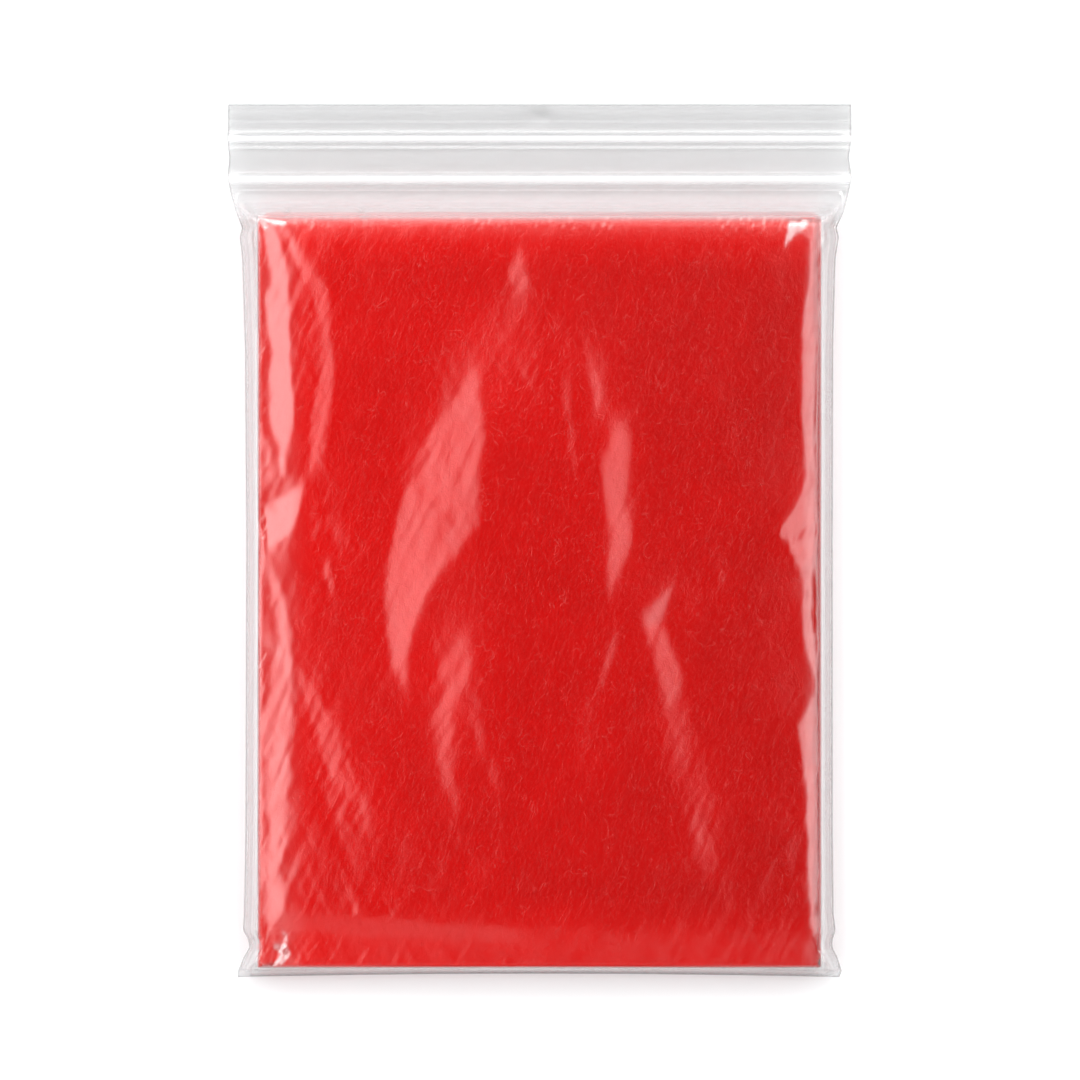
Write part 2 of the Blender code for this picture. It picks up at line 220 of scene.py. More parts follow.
def blurred(field, size):
    """A map smoothed over a size in millimetres."""
    keep = np.exp(-2.0 * (pi * size) ** 2 * (WAVE_X ** 2 + WAVE_Y ** 2))
    return np.fft.ifft2(np.fft.fft2(field) * keep).real


def patch_share(outline, soft, ragged):
    """From 0 outside a patch to 1 inside it, eased over its soft edge."""
    points = np.array(outline, float)
    beyond = 2 * soft + 1
    (left, foot), (right, head) = points.min(axis=0) - beyond, points.max(axis=0) + beyond
    rows = slice(*np.searchsorted(GRID_Y, (foot, head)))
    columns = slice(*np.searchsorted(GRID_X, (left, right)))
    here_x, here_y = PLACE_X[rows, columns], PLACE_Y[rows, columns]
    inside = np.zeros(here_x.shape, bool)
    away = np.full(here_x.shape, 1e9)
    for (x0, y0), (x1, y1) in zip(points, np.roll(points, -1, axis=0)):
        crosses = (y0 > here_y) != (y1 > here_y)
        inside ^= crosses & (here_x < x0 + (x1 - x0) * (here_y - y0) / (y1 - y0 + 1e-9))
        run = (x1 - x0) ** 2 + (y1 - y0) ** 2 + 1e-9
        along = np.clip(((here_x - x0) * (x1 - x0) + (here_y - y0) * (y1 - y0)) / run, 0, 1)
        gap = np.hypot(here_x - x0 - along * (x1 - x0), here_y - y0 - along * (y1 - y0))
        away = np.minimum(away, gap)
    depth = np.where(inside, away, -away)
    share = np.zeros(PLACE_X.shape)
    share[rows, columns] = ease(0.5 + (depth + ragged[rows, columns]) / soft)
    return share


def sample(field, x, y):
    """A map read at places in millimetres, straight between its grid points."""
    column = np.clip((x - GRID_X[0]) / STEP, 0, len(GRID_X) - 1.001)
    row = np.clip((y - GRID_Y[0]) / STEP, 0, len(GRID_Y) - 1.001)
    c, r = column.astype(int), row.astype(int)
    u, v = column - c, row - r
    low = field[r, c] * (1 - u) + field[r, c + 1] * u
    high = field[r + 1, c] * (1 - u) + field[r + 1, c + 1] * u
    return low * (1 - v) + high * v


# %% [markdown]
# The patches of the front panel follow. `lean` is the slope towards +X and +Y: a patch that
# rises to the right faces the left soft box. `soft` is the width of its eased edge, and `fibre`
# how much the pull of the film frays it. `gleam` is how far the bag's film stands off there,
# which adds the film's own mirror light. Where patches overlap, their leans add up.

# %% The creases of the front panel
Patch = namedtuple("Patch", "name lean soft fibre outline gleam", defaults=(0.0,))
PATCHES = (
    Patch("head band", (0.0, -0.15), 1.0, 0.5, (
        (-59, 65.6), (-30, 65.2), (0, 65.8), (30, 65.2), (59, 65.2), (59, 70), (-59, 70))),
    Patch("head band, fade", (0.0, -0.09), 6.0, 0.9, (
        (-59, 62.5), (-30, 62), (0, 63), (30, 63), (59, 62), (59, 70), (-59, 70))),
    Patch("head spire", (0.21, -0.03), 0.8, 0.2, (
        (-4.1, 60.5), (-5.5, 57.5), (-7.4, 55), (-4.5, 51.5), (-1.2, 51.2), (0.6, 50.4),
        (-2.3, 54.2), (-3, 57))),
    Patch("head glow", (0.075, -0.015), 13.0, 0.1, (
        (-6, 52), (-14, 45), (-21, 34), (-14, 28), (-5, 31), (1, 29.5), (4.5, 35), (2.5, 44),
        (0, 50))),
    Patch("glow streak", (0.07, 0.0), 1.2, 0.3, (
        (-5.4, 38.5), (-2.8, 38.9), (-1.4, 34.7), (1.7, 29.9), (0.1, 29.9), (-3.3, 32.3),
        (-4.7, 35.6))),
    Patch("leaf, upper", (0.195, -0.02), 1.0, 0.9, (
        (-14, 35.9), (-12.6, 33.5), (-13, 29.9), (-11.6, 26.1), (-11.4, 20.4), (-12.1, 16.6),
        (-12.4, 9.4), (-12.5, 3.5), (-14.9, 2.3), (-17.1, 3), (-18.8, 5.6), (-20.9, 4.2),
        (-22.3, 7), (-24.7, 9.9), (-27.6, 9.6), (-24.7, 13.7), (-23.5, 16.6), (-22.6, 21.3),
        (-20.9, 25.1), (-19.2, 28.5), (-18.4, 30.9), (-17.2, 28.9), (-16.4, 29.9),
        (-15.2, 33.7)), 0.15),
    Patch("leaf, halo", (0.08, 0.0), 4.0, 0.8, (
        (-28.5, 23.2), (-23.8, 23.2), (-19.9, 29.9), (-20.9, 21.3), (-22.8, 16.6), (-26.1, 11.8),
        (-28.5, 14.7))),
    Patch("leaf, lower", (0.205, 0.0), 0.9, 0.4, (
        (-27.6, 9.6), (-24.7, 9.9), (-21.4, 5.6), (-19.9, 4.2), (-16.6, 3.2), (-14.2, 3),
        (-12.7, 3.2), (-15.4, -0.4), (-19, -4.9), (-22.3, -9.2), (-24.5, -14.2), (-26.4, -18.7),
        (-27.3, -24.8), (-27.5, -30.5), (-30, -27), (-30.7, -24.8), (-31.6, -16.8), (-32, -9.6),
        (-31.6, -5.4), (-30.7, -2.5), (-30, 2.7), (-28.5, 7)), 0.15),
    Patch("leaf, crease", (-0.14, 0.04), 0.5, 0.3, (
        (-23.2, 8.5), (-22.1, 8.6), (-19.8, 3.5), (-20.6, 3))),
    Patch("leaf, crease beside it", (-0.12, 0.03), 0.5, 0.3, (
        (-19.1, 6.8), (-18.2, 6.9), (-17.3, 3), (-18, 2.8))),
    Patch("leaf, wedge", (0.1, 0.0), 1.0, 0.4, (
        (-12.6, 8.5), (-11.5, 7), (-9, 2.3), (-10.9, 3.9), (-12.1, 6.1))),
    Patch("head dimple", (0.11, -0.03), 1.2, 0.6, (
        (40.6, 60.3), (43.3, 61.1), (45.5, 59), (43.3, 58), (41.4, 55.5), (39.9, 57.8))),
    Patch("thin line", (0.15, 0.0), 0.9, 0.3, (
        (4.6, 32.3), (5.8, 32.8), (6.8, 29.9), (6.3, 26.1), (7.2, 23.2), (7.1, 20.4),
        (7.7, 16.6), (7.6, 13), (6.4, 16.6), (5.8, 21.3), (5.5, 26.1), (4.7, 29.9))),
    Patch("thin line, glow", (0.07, 0.0), 4.0, 0.4, (
        (3.1, 47), (6.7, 47), (7.1, 35.6), (6, 31.8), (4.1, 32.8))),
    Patch("short blade", (-0.18, 0.0), 0.6, 0.4, (
        (10.2, 39.2), (11.1, 36.1), (11.7, 33.2), (12.3, 32.2), (12.7, 29.9), (12.4, 27),
        (11.7, 26.1), (11.5, 27.5), (11.7, 29.4), (11.3, 31.8), (10.6, 34.2))),
    Patch("short blade, glow", (-0.05, 0.0), 2.5, 0.8, (
        (8.1, 42.8), (12.6, 42.8), (14.8, 28.9), (11.7, 25.1), (8.8, 36.6))),
    Patch("centre blade", (-0.19, 0.0), 0.9, 0.6, (
        (15, 23.2), (17.9, 23.9), (18.4, 21.3), (18.9, 19.4), (18.4, 14.7), (18.1, 10.4),
        (17.3, 7), (18.8, 4.2), (19.5, 0.8), (18.1, -3.5), (16.4, -7.3), (14.5, -11.1),
        (13.8, -12.3), (14.3, -7.3), (14.2, -2.5), (14.9, 0.8), (14.2, 5.1), (13.5, 8.5),
        (12.8, 14.7), (12.5, 17.5), (14.6, 19.4), (14.3, 21.3))),
    Patch("centre blade, glow", (-0.05, 0.0), 3.5, 0.4, (
        (15, 26.1), (19.8, 23.2), (20.7, 14.7), (20.7, 2.3), (18.8, -4.9), (13.1, -2.5),
        (12.2, 16.6))),
    Patch("star, arm", (-0.19, 0.16), 0.5, 0.1, (
        (19.2, -15), (22.4, -13.8), (25, -12), (28, -8.5), (27, -11.6), (26, -14.2),
        (25.6, -16.8), (22.6, -17.7), (21.2, -16.4)), 0.4),
    Patch("star, tail", (-0.19, 0.04), 1.0, 0.6, (
        (21.2, -16.3), (25.6, -15.8), (26.1, -19.2), (27.2, -22.5), (28.8, -24.8), (29.8, -31),
        (27, -34), (25, -30), (23.1, -21.6))),
    Patch("star, long tail", (-0.06, 0.0), 4.5, 0.5, (
        (24, -33), (30, -33), (33.5, -45), (37.5, -55), (37.5, -68), (33.5, -66), (29, -54),
        (24.5, -42.5))),
    Patch("star, tail glint", (-0.07, 0.0), 1.4, 0.6, (
        (32, -60), (35.5, -60), (36.5, -67.5), (33.5, -68))),
    Patch("star, halo", (0.0, 0.07), 3.0, 0.6, (
        (31.2, -6.3), (35.5, -5.8), (37.9, -8.7), (35, -12), (34.1, -17.7), (32.6, -12))),
    Patch("star, hair", (-0.09, 0.05), 0.8, 0.2, (
        (36.2, -4.9), (36.9, -4.9), (38.6, -8.5), (37.9, -8.5))),
    Patch("side glint", (0.07, 0.08), 1.2, 0.3, (
        (35.5, 18.5), (38.8, 19.7), (39.1, 18.9), (36.4, 17.4))),
    Patch("short spur", (-0.19, 0.0), 0.8, 0.3, (
        (16.7, -18), (16.3, -20.5), (14.7, -25), (13, -30), (12.2, -30), (13.3, -25),
        (14.8, -20.5))),
    Patch("spur, faint", (-0.07, 0.0), 2.5, 0.6, (
        (9, -31), (12, -31), (11, -47), (8.5, -47))),
    Patch("lower pleat", (0.13, 0.0), 1.2, 1.0, (
        (-17, -20), (-14, -20.5), (-14, -25.5), (-15, -31), (-18, -34), (-18, -39.5),
        (-18.5, -47), (-16, -52), (-17.5, -56.5), (-19.5, -52), (-21.5, -43.5), (-22, -37),
        (-20, -31.5), (-20, -27))),
    Patch("lower pleat, glow", (0.05, 0.0), 5.0, 0.5, (
        (-22, -20), (-12, -18), (-11, -34), (-16, -44), (-24, -40))),
    Patch("lower pleat, chip", (0.14, 0.0), 1.2, 0.5, (
        (-14, -36.5), (-11.5, -39.5), (-11.5, -45.5), (-13.2, -42.5))),
    Patch("lower pleat, spot", (0.13, 0.0), 1.2, 0.5, (
        (-10, -46), (-7.8, -47.5), (-8, -52.5), (-10.5, -49.5))),
    Patch("left diagonal", (0.1, 0.03), 1.2, 1.0, (
        (-50, -27), (-47.5, -29.5), (-44.5, -34), (-42.5, -38.5), (-39.5, -45), (-38.5, -50),
        (-36.5, -54), (-40, -54), (-44.5, -47.5), (-45, -41.5), (-47.5, -35.5), (-49, -31))),
    Patch("left diagonal, glow", (0.04, 0.01), 5.0, 0.5, (
        (-50, -27), (-42, -34), (-36, -50), (-34, -62), (-42, -60), (-48, -42))),
    Patch("left hook", (0.17, -0.02), 0.9, 0.3, (
        (-45.2, -5.4), (-43.8, -3.9), (-43, -7.3), (-42.4, -11.3), (-43.5, -9.9),
        (-44.5, -7.3))),
    Patch("left wing", (0.12, 0.04), 0.9, 0.4, (
        (-44.5, 5.4), (-42.8, 3.2), (-40.5, 0.8), (-41.9, 0.9), (-43.8, 3))),
    Patch("left wing, glow", (0.05, 0.05), 4.0, 0.5, (
        (-43.8, 1.8), (-40, 2.3), (-35.2, -0.6), (-33.8, -3.5), (-40, -2))),
    Patch("left band, inner", (0.15, 0.0), 0.9, 0.8, (
        (-54.1, 64.3), (-51.8, 64.1), (-49.4, 60.9), (-47, 56.9), (-44.5, 53.2), (-43.3, 50.6),
        (-43.3, 43.7), (-42.9, 38), (-42.9, 30.8), (-43.4, 26.1), (-44.3, 21.3), (-45.3, 17.5),
        (-47.5, 14.4), (-47.7, 16.6), (-47.3, 21.3), (-47.1, 26.1), (-46.6, 30.8), (-45.7, 36.1),
        (-44.5, 42.8), (-46.6, 48), (-46.7, 50.3), (-48.7, 54.3), (-51.2, 59.1))),
    Patch("left band, tail", (0.11, 0.0), 0.8, 0.3, (
        (-45.8, 17), (-45, 16.6), (-43.7, 13.2), (-43.1, 10.3), (-44.1, 12.3), (-45.2, 14.7))),
    Patch("left band, gap", (0.04, 0.0), 3.0, 0.9, (
        (-52, 58), (-48, 58), (-46, 45), (-47, 30), (-51, 30), (-51, 45))),
    Patch("left band, upper", (0.21, 0.0), 0.6, 0.3, (
        (-56.8, 65), (-55.2, 65.2), (-53.9, 62.4), (-52.8, 58.7), (-52.1, 54.3), (-52.1, 49.9),
        (-51.8, 40.4), (-51.4, 34.2), (-50.8, 27), (-50.7, 23.2), (-51.8, 20.8), (-52.7, 18.9),
        (-53.2, 16.3), (-53.8, 16), (-53.7, 19.4), (-54.5, 21.1), (-55.7, 23.2), (-56.2, 27),
        (-56, 34.2), (-55.3, 38.9), (-56.2, 44.2), (-57.1, 49.9), (-55.3, 52.8), (-55.9, 57.2),
        (-56.5, 60.9)), 0.4),
    Patch("left edge line", (0.22, 0.0), 0.5, 0.2, (
        (-58.4, 49.9), (-57.9, 49.9), (-57.7, 35.6), (-58, 33.9), (-58.3, 40.4)), 0.6),
    Patch("left edge, chips", (0.1, 0.03), 0.5, 0.5, (
        (-58, 22.5), (-56.3, 21.3), (-55.4, 17.5), (-55.9, 14.7), (-56.5, 16.6), (-57.1, 18.7),
        (-58, 19.2))),
    Patch("left edge, fold", (0.2, -0.03), 0.5, 0.1, (
        (-57.7, 13.1), (-55.6, 14.3), (-54.7, 13.5), (-56.2, 12.4))),
    Patch("left star, crease", (-0.25, 0.12), 0.35, 0.0, (
        (-57.7, 8.2), (-57.2, 8.6), (-53.5, 14.2), (-54, 14.6))),
    Patch("left star, crease below", (-0.20, -0.02), 0.35, 0.0, (
        (-57.6, 7.0), (-57.0, 6.8), (-56.4, 1.5), (-56.5, -3.5), (-56.9, -3.5), (-57.1, 1.5))),
    Patch("left star, top", (0.0, 0.1), 0.4, 0.0, (
        (-57.5, 8), (-54.4, 12.7), (-52.3, 13.6), (-49, 11.5), (-53.7, 9.2))),
    Patch("left star, neck", (0.16, 0.0), 0.4, 0.0, (
        (-53.7, 16.8), (-53.2, 16.8), (-52.3, 14.4), (-50.9, 12.8), (-52.4, 13.9),
        (-53.8, 13.5)), 0.4),
    Patch("left star", (0.27, -0.05), 0.35, 0.0, (
        (-57.7, 7.6), (-53.8, 8.8), (-48.9, 11.3), (-49.7, 7), (-50.7, 2.7), (-52, 1),
        (-54.5, -0.5), (-56, -2), (-56.7, 1.8)), 0.6),
    Patch("left star, shade", (-0.12, 0.0), 2.0, 0.2, (
        (-48.1, 11.1), (-47.1, 7), (-49, 0.4), (-52.8, -3), (-49.5, -6.3), (-44.7, 2.3),
        (-45.2, 9.4))),
    Patch("left band, lower", (0.15, 0.0), 0.8, 0.9, (
        (-56.2, -3.1), (-55.3, -4.9), (-54, -8.7), (-52.9, -12.5), (-52.1, -16.8),
        (-51.4, -20.6), (-51.6, -24.8), (-51.3, -31), (-51, -38.5), (-51.5, -45.5), (-52, -49.5),
        (-52.5, -59), (-53, -64), (-53.5, -70.5), (-53, -74.5), (-52.5, -78), (-54.5, -81),
        (-57, -78), (-56.6, -73), (-56, -63.5), (-56, -59), (-56.4, -54), (-56.6, -44.5),
        (-57, -37), (-56.4, -31), (-54.7, -24.8), (-54.6, -21.6), (-54.3, -18.2), (-54.7, -14.4),
        (-55.6, -11.1), (-56.1, -7.3)), 0.1),
    Patch("left edge, strip", (0.17, 0.0), 0.5, 0.2, (
        (-58.1, 2), (-56.9, 2.3), (-56.8, -6.8), (-57.8, -6.5))),
    Patch("left edge, notch", (0.16, 0.04), 0.5, 0.2, (
        (-57.7, -20.4), (-54.9, -20.2), (-55.2, -22.6), (-57.3, -22.1))),
    Patch("left edge, lower", (0.12, 0.03), 0.9, 0.9, (
        (-58.4, -22), (-57.2, -36), (-56.8, -60), (-57.6, -80), (-58.4, -84))),
    Patch("foot slope", (0.0, 0.085), 5.0, 0.9, (
        (-59, -77.5), (-30, -77), (0, -79), (30, -80), (59, -81), (59, -92), (-59, -92))),
    Patch("foot band, left", (0.03, 0.095), 2.5, 0.8, (
        (-53.2, -75.8), (-40.4, -77.3), (-24.8, -79.2), (-4, -80.4), (-4, -82.9), (-28.9, -82.1),
        (-43.5, -81.7), (-53.2, -80.8))),
    Patch("foot ripple, left", (0.12, 0.06), 1.0, 0.6, (
        (-40, -72), (-38, -74), (-36, -82), (-38.5, -80))),
    Patch("foot ripple, middle", (-0.12, 0.08), 1.0, 0.6, (
        (2, -72), (4.5, -74), (8, -81), (5.5, -79))),
    Patch("foot ripple, right", (-0.16, 0.1), 0.8, 0.3, (
        (18.8, -81), (21.5, -84), (24.5, -88), (23.5, -88), (20.3, -84.5))),
    Patch("foot ripple, far right", (-0.16, 0.1), 0.8, 0.3, (
        (27.9, -80.2), (29, -83), (29.5, -86), (28.4, -84))),
    Patch("right edge slope", (-0.3, 0.0), 0.35, 0.6, (
        (57.1, 66.7), (56.3, 62.4), (55.8, 52), (55.1, 49.9), (54.9, 48.5), (54.4, 46.6),
        (54.1, 44.7), (53.5, 44.2), (54.5, 43.5), (54.8, 39.4), (54.4, 36.6), (54.5, 32.8),
        (54.1, 27), (54.6, 23.2), (55.1, 18.9), (55.1, 12.7), (54.4, 10.4), (52.8, 7),
        (50.6, 3.9), (49.4, 1.7), (49.6, 0.7), (51.4, -0.7), (52.8, -3.5), (53.6, -5.4),
        (54.5, -7.3), (54.9, -10.1), (54.6, -13), (54.6, -16.8), (54.9, -20.6), (56, -24.8),
        (57.1, -29.8), (55.6, -35), (53.5, -38.5), (54.6, -46), (55.4, -54.1), (55.6, -63.6),
        (55.8, -72.9), (56.6, -81), (56.9, -84.6), (62, -84.6), (62, 66.7)), 0.8),
    Patch("right strip, long line", (0.33, 0.0), 0.35, 0.1, (
        (57.5, 50), (57.1, 36), (56.7, 24), (56.8, 14), (57.4, 14), (57.3, 24), (57.7, 36),
        (58.2, 50))),
    Patch("right strip, red spot", (0.34, 0.0), 0.4, 0.1, (
        (52.7, 0.7), (54.3, 2.3), (55.5, 3), (55.8, 3.8), (55.7, 1.7), (54.2, 0.3))),
    Patch("right strip, red wedge", (0.34, 0.0), 0.4, 0.1, (
        (56.6, 3), (57.3, 4.2), (58.4, 5.2), (57.8, 3), (57.4, 0.1), (56.8, 1.5))),
    Patch("right strip, lower line", (0.33, 0.0), 0.4, 0.1, (
        (56.7, -6.2), (55.9, -7.7), (55.9, -10.2), (56.5, -12.5), (55.8, -14.5), (56.1, -16.9),
        (56.8, -20.6), (56.9, -24.8), (58.5, -24.8), (58.3, -20.6), (57.7, -16.9), (57.3, -14.5),
        (58.1, -12.5), (57.4, -10.2), (57.4, -8), (58.1, -6.4))),
    Patch("right strip, foot line", (0.12, 0.0), 0.4, 0.1, (
        (56.8, -25), (56.3, -34), (57.1, -42), (56.6, -55), (57.2, -70), (58.3, -70),
        (57.7, -55), (58.2, -42), (57.5, -34), (58, -25))),
)

fibres = streaks(64, 5.0, 0.9, 3)
cross_fibres = streaks(118, 5.0, 1.2, 5)
ragged_edges = 0.8 * streaks(66, 6.0, 0.9, 11) + 0.35 * streaks(120, 3.0, 0.8, 12)
slope_x, slope_y = np.zeros(PLACE_X.shape), np.zeros(PLACE_X.shape)
highlight = np.zeros(PLACE_X.shape)
for patch in PATCHES:
    share = patch_share(patch.outline, patch.soft, ragged_edges * (0.05 + 0.35 * patch.fibre))
    share = share * (1.0 + 0.35 * patch.fibre * fibres)
    slope_x += patch.lean[0] * share
    slope_y += patch.lean[1] * share
    highlight = np.maximum(highlight, share)

busy = 0.25 + 0.55 * ease((-12.0 - PLACE_X) / 40.0) + 1.1 * ease((-44.0 - PLACE_Y) / 25.0)
highlight = np.clip(highlight, 0.0, 1.0)
lit = blurred(highlight, 1.5)
busy += 0.9 * lit
wrinkles = 0.012 * streaks(62, 14.0, 4.5, 21) + 0.008 * streaks(112, 12.0, 4.0, 22)
wrinkles += 0.008 * streaks(66, 10.0, 2.0, 23) + 0.005 * fibres + 0.004 * cross_fibres
wrinkles = wrinkles * busy + lit * (0.012 * fibres + 0.006 * cross_fibres)
relief = height_from_slopes(slope_x, slope_y)
relief -= relief.mean()
relief += wrinkles
# Painted light: glow lightens the red over the head, along the left side, at the foot and round
# the lit creases.
glow = 0.35 * ease((PLACE_Y - 54.0) / 12.0) + 0.20 * ease((-42.0 - PLACE_X) / 14.0)
glow += 0.15 * ease((-72.0 - PLACE_Y) / 12.0) + 0.25 * blurred(highlight, 4.0)
# Painted highlights: a faint white band along the left side and the head, a bright line along the
# head edge, and white glint specks (chips) near the head and left edges.
chips = np.clip(streaks(70, 1.6, 0.7, 51) - 0.9, 0.0, 1.0)
chips = chips * blurred(streaks(0, 6.0, 6.0, 52) > 0.3, 2.0)
painted_highlight = 0.05 * ease((-46.0 - PLACE_X) / 10.0) + 0.06 * ease((PLACE_Y - 61.0) / 6.0)
painted_highlight += 0.14 * ease((PLACE_Y - 65.6) / 1.0)
painted_highlight += 0.8 * chips * np.maximum(ease((PLACE_Y - 63.5) / 2.0), 0.7 * ease((-55.0 - PLACE_X) / 2.0))
print(f"creases from {relief.min():.2f} to {relief.max():.2f} mm")

# %% [markdown]
# ## Meshes from grids
#
# Every sheet here is a grid of points, given a second surface a film's thickness away and
# closed round its rim, so it is a real thin body that can be weighed and printed.

# %% Sheets from grids
def grid_normals(points):
    """The way out of a grid of points at each of them."""
    across = np.gradient(points, axis=1)
    upward = np.gradient(points, axis=0)
    normal = np.cross(across, upward)
    return normal / np.linalg.norm(normal, axis=2, keepdims=True)


def make_sheet(name, points, thickness, material, marks=None, facing=1):
    """A closed sheet from a grid in millimetres. facing is -1 where its outside is below.

    Its hidden side has every second line of the grid, which leaves more for the side that shows.
    """
    rows, columns = points.shape[:2]
    kept_rows = np.append(np.arange(0, rows - 1, 2), rows - 1)
    kept_columns = np.append(np.arange(0, columns - 1, 2), columns - 1)
    kept = np.ix_(kept_rows, kept_columns)
    hidden = (points - facing * thickness * grid_normals(points))[kept]
    corners = np.concatenate([points.reshape(-1, 3), hidden.reshape(-1, 3)]) * MM
    index = np.arange(rows * columns).reshape(rows, columns)
    behind = rows * columns + np.arange(hidden[..., 0].size).reshape(hidden.shape[:2])
    faces = []
    for grid, order in ((index, (0, 1, 2, 3)), (behind, (3, 2, 1, 0))):
        loop = (grid[:-1, :-1], grid[:-1, 1:], grid[1:, 1:], grid[1:, :-1])
        faces += np.stack([loop[k] for k in order], axis=-1).reshape(-1, 4).tolist()
    for line, back_line, stops in (
            (index[0], behind[0], kept_columns), (index[:, -1], behind[:, -1], kept_rows),
            (index[-1, ::-1], behind[-1, ::-1], columns - 1 - kept_columns[::-1]),
            (index[::-1, 0], behind[::-1, 0], rows - 1 - kept_rows[::-1])):
        for here, (start, end) in enumerate(zip(stops, stops[1:])):
            faces.append([int(line[start]), int(back_line[here]), int(back_line[here + 1]),
                          *(int(v) for v in line[start + 1:end + 1][::-1])])
    if facing < 0:
        faces = [face[::-1] for face in faces]
    mesh = bpy.data.meshes.new(name)
    mesh.from_pydata(corners.tolist(), [], faces)
    for mark, values in (marks or {}).items():
        layer = mesh.attributes.new(mark, "FLOAT", "POINT")
        both = np.concatenate([values.ravel(), values[kept].ravel()])
        layer.data.foreach_set("value", both.astype(np.float32))
    mesh.shade_smooth()
    mesh.materials.append(material)
    piece = put(name, mesh)
    print(f"{name}: {rows} x {columns} points, {sum(len(face) - 2 for face in faces)} triangles")
    return piece


# %% [markdown]
# ## Red polythene
#
# The poncho is blown high-density polythene, pigmented red. The film leaves the blower with a
# waxy, satin skin: colour is deep and even, and its gloss spreads wide. Folding it by hand adds
# a fine dry crackle along the pull of the film and short curled threads where it was drawn out.
# Both are too small for the mesh, so they are a bump here. Two marks on the mesh paint light into
# the colour: a lighter red glow over the head, the left side, the foot and round the lit creases,
# and white painted highlights along the head and left edges. The threads whiten it a little as
# well. The red is also painted darker towards the right, as shade.

# %% The poncho's material
def thread_lines(tree, place, scale, width):
    """Short curled threads: thin lines where a noise crosses its middle, kept only in places."""
    noise = add(tree, "ShaderNodeTexNoise", Vector=place, Scale=scale, Detail=1.0,
                Distortion=1.4).outputs["Fac"]
    beside = maths(tree, "ABSOLUTE", maths(tree, "SUBTRACT", noise, 0.5))
    line = add(tree, "ShaderNodeMapRange", Value=beside, From_Max=width, To_Min=1.0,
               To_Max=0.0).outputs[0]
    patchy = add(tree, "ShaderNodeTexNoise", Vector=place, Scale=1.6 * scale,
                 Detail=1.0).outputs["Fac"]
    some = add(tree, "ShaderNodeMapRange", Value=patchy, From_Min=0.50, From_Max=0.62).outputs[0]
    return maths(tree, "MULTIPLY", line, some)


def red_polythene(name, base, dark_and_shaded, lit):
    """Satin red film with a fine crackle. Marks on the mesh paint light into its colour, and it is
    painted darker towards the right as shade.
    """
    material = bpy.data.materials.new(name)
    material.use_nodes = True
    tree = material.node_tree
    shader = tree.nodes["Principled BSDF"]
    place = add(tree, "ShaderNodeTexCoord").outputs["Object"]
    turned = add(tree, "ShaderNodeMapping", {"vector_type": "TEXTURE"}, Vector=place,
                 Rotation=(0, 0, radians(72)), Scale=(1.6, 1.0, 1.0)).outputs["Vector"]
    crackle = add(tree, "ShaderNodeTexNoise", Vector=turned, Scale=1500.0, Detail=3.0,
                  Roughness=0.65, Distortion=0.8).outputs["Fac"]
    swell = add(tree, "ShaderNodeTexNoise", Vector=turned, Scale=420.0, Detail=3.0,
                Roughness=0.6, Distortion=0.8).outputs["Fac"]
    both = maths(tree, "MULTIPLY_ADD", swell, 2.2, crackle)
    threads = thread_lines(tree, place, 240.0, 0.010)
    both = maths(tree, "MULTIPLY_ADD", threads, 0.3, both)
    bump = add(tree, "ShaderNodeBump", Height=both, Strength=1.0, Distance=0.00005).outputs[0]
    cloud = add(tree, "ShaderNodeTexNoise", Vector=place, Scale=60.0, Detail=8.0,
                Roughness=0.72).outputs["Fac"]
    # Painted shade: the cloud's random tone is pushed towards the darker colour across the packet,
    # lighter at the left and darker to the right.
    across = add(tree, "ShaderNodeSeparateXYZ", Vector=place).outputs["X"]
    shade_to_right = add(tree, "ShaderNodeMapRange", Value=across, From_Min=-0.055, From_Max=0.06,
               To_Min=0.35, To_Max=-0.45).outputs[0]
    shade = maths(tree, "ADD", cloud, shade_to_right, use_clamp=True)
    colour = add(tree, "ShaderNodeMix", {"data_type": "RGBA"}, Factor=shade)
    colour.inputs[6].default_value = linear(dark_and_shaded)
    colour.inputs[7].default_value = linear(base)
    # Painted light: the glow mark mixes in a lighter red, and the painted highlight mark mixes in
    # white; the threads whiten it a little as well.
    warmed = add(tree, "ShaderNodeMix", {"data_type": "RGBA"}, Factor=read_mark(tree, "glow"),
                 _6=colour.outputs[2])
    warmed.inputs[7].default_value = linear(lit)
    threads_and_highlight = maths(tree, "MULTIPLY_ADD", threads, 0.05, read_mark(tree, "painted_highlight"))
    whitened = add(tree, "ShaderNodeMix", {"data_type": "RGBA"}, Factor=threads_and_highlight,
                   _6=warmed.outputs[2])
    whitened.inputs[7].default_value = linear("FFB4AE")
    tree.links.new(whitened.outputs[2], shader.inputs["Base Color"])
    gloss = add(tree, "ShaderNodeMapRange", Value=crackle, To_Min=0.17, To_Max=0.24).outputs[0]
    tree.links.new(gloss, shader.inputs["Roughness"])
    tree.links.new(bump, shader.inputs["Normal"])
    shader.inputs["IOR"].default_value = 1.53
    shader.inputs["Specular IOR Level"].default_value = 0.75
    shader.inputs["Specular Tint"].default_value = (1.0, 0.36, 0.33, 1.0)
    return material


poncho_red = red_polythene("red_polythene_film", "D40302", "B20302", "EC1411")
# The layers' reds, lighter than the panel's, are painted light that makes up for the shade the
# rolls lie in.
lightened_layers_red = red_polythene("red_polythene_layers", "EE120C", "DC0E0A", "F41A14")

# %% [markdown]
# ## The front panel
#
# The panel that shows is one sheet drawn over the head, foot and left side of the stack, with a
# free, ragged edge on the right. Its grid follows the flat and turns over each shoulder, and
# the height map above is laid on it.

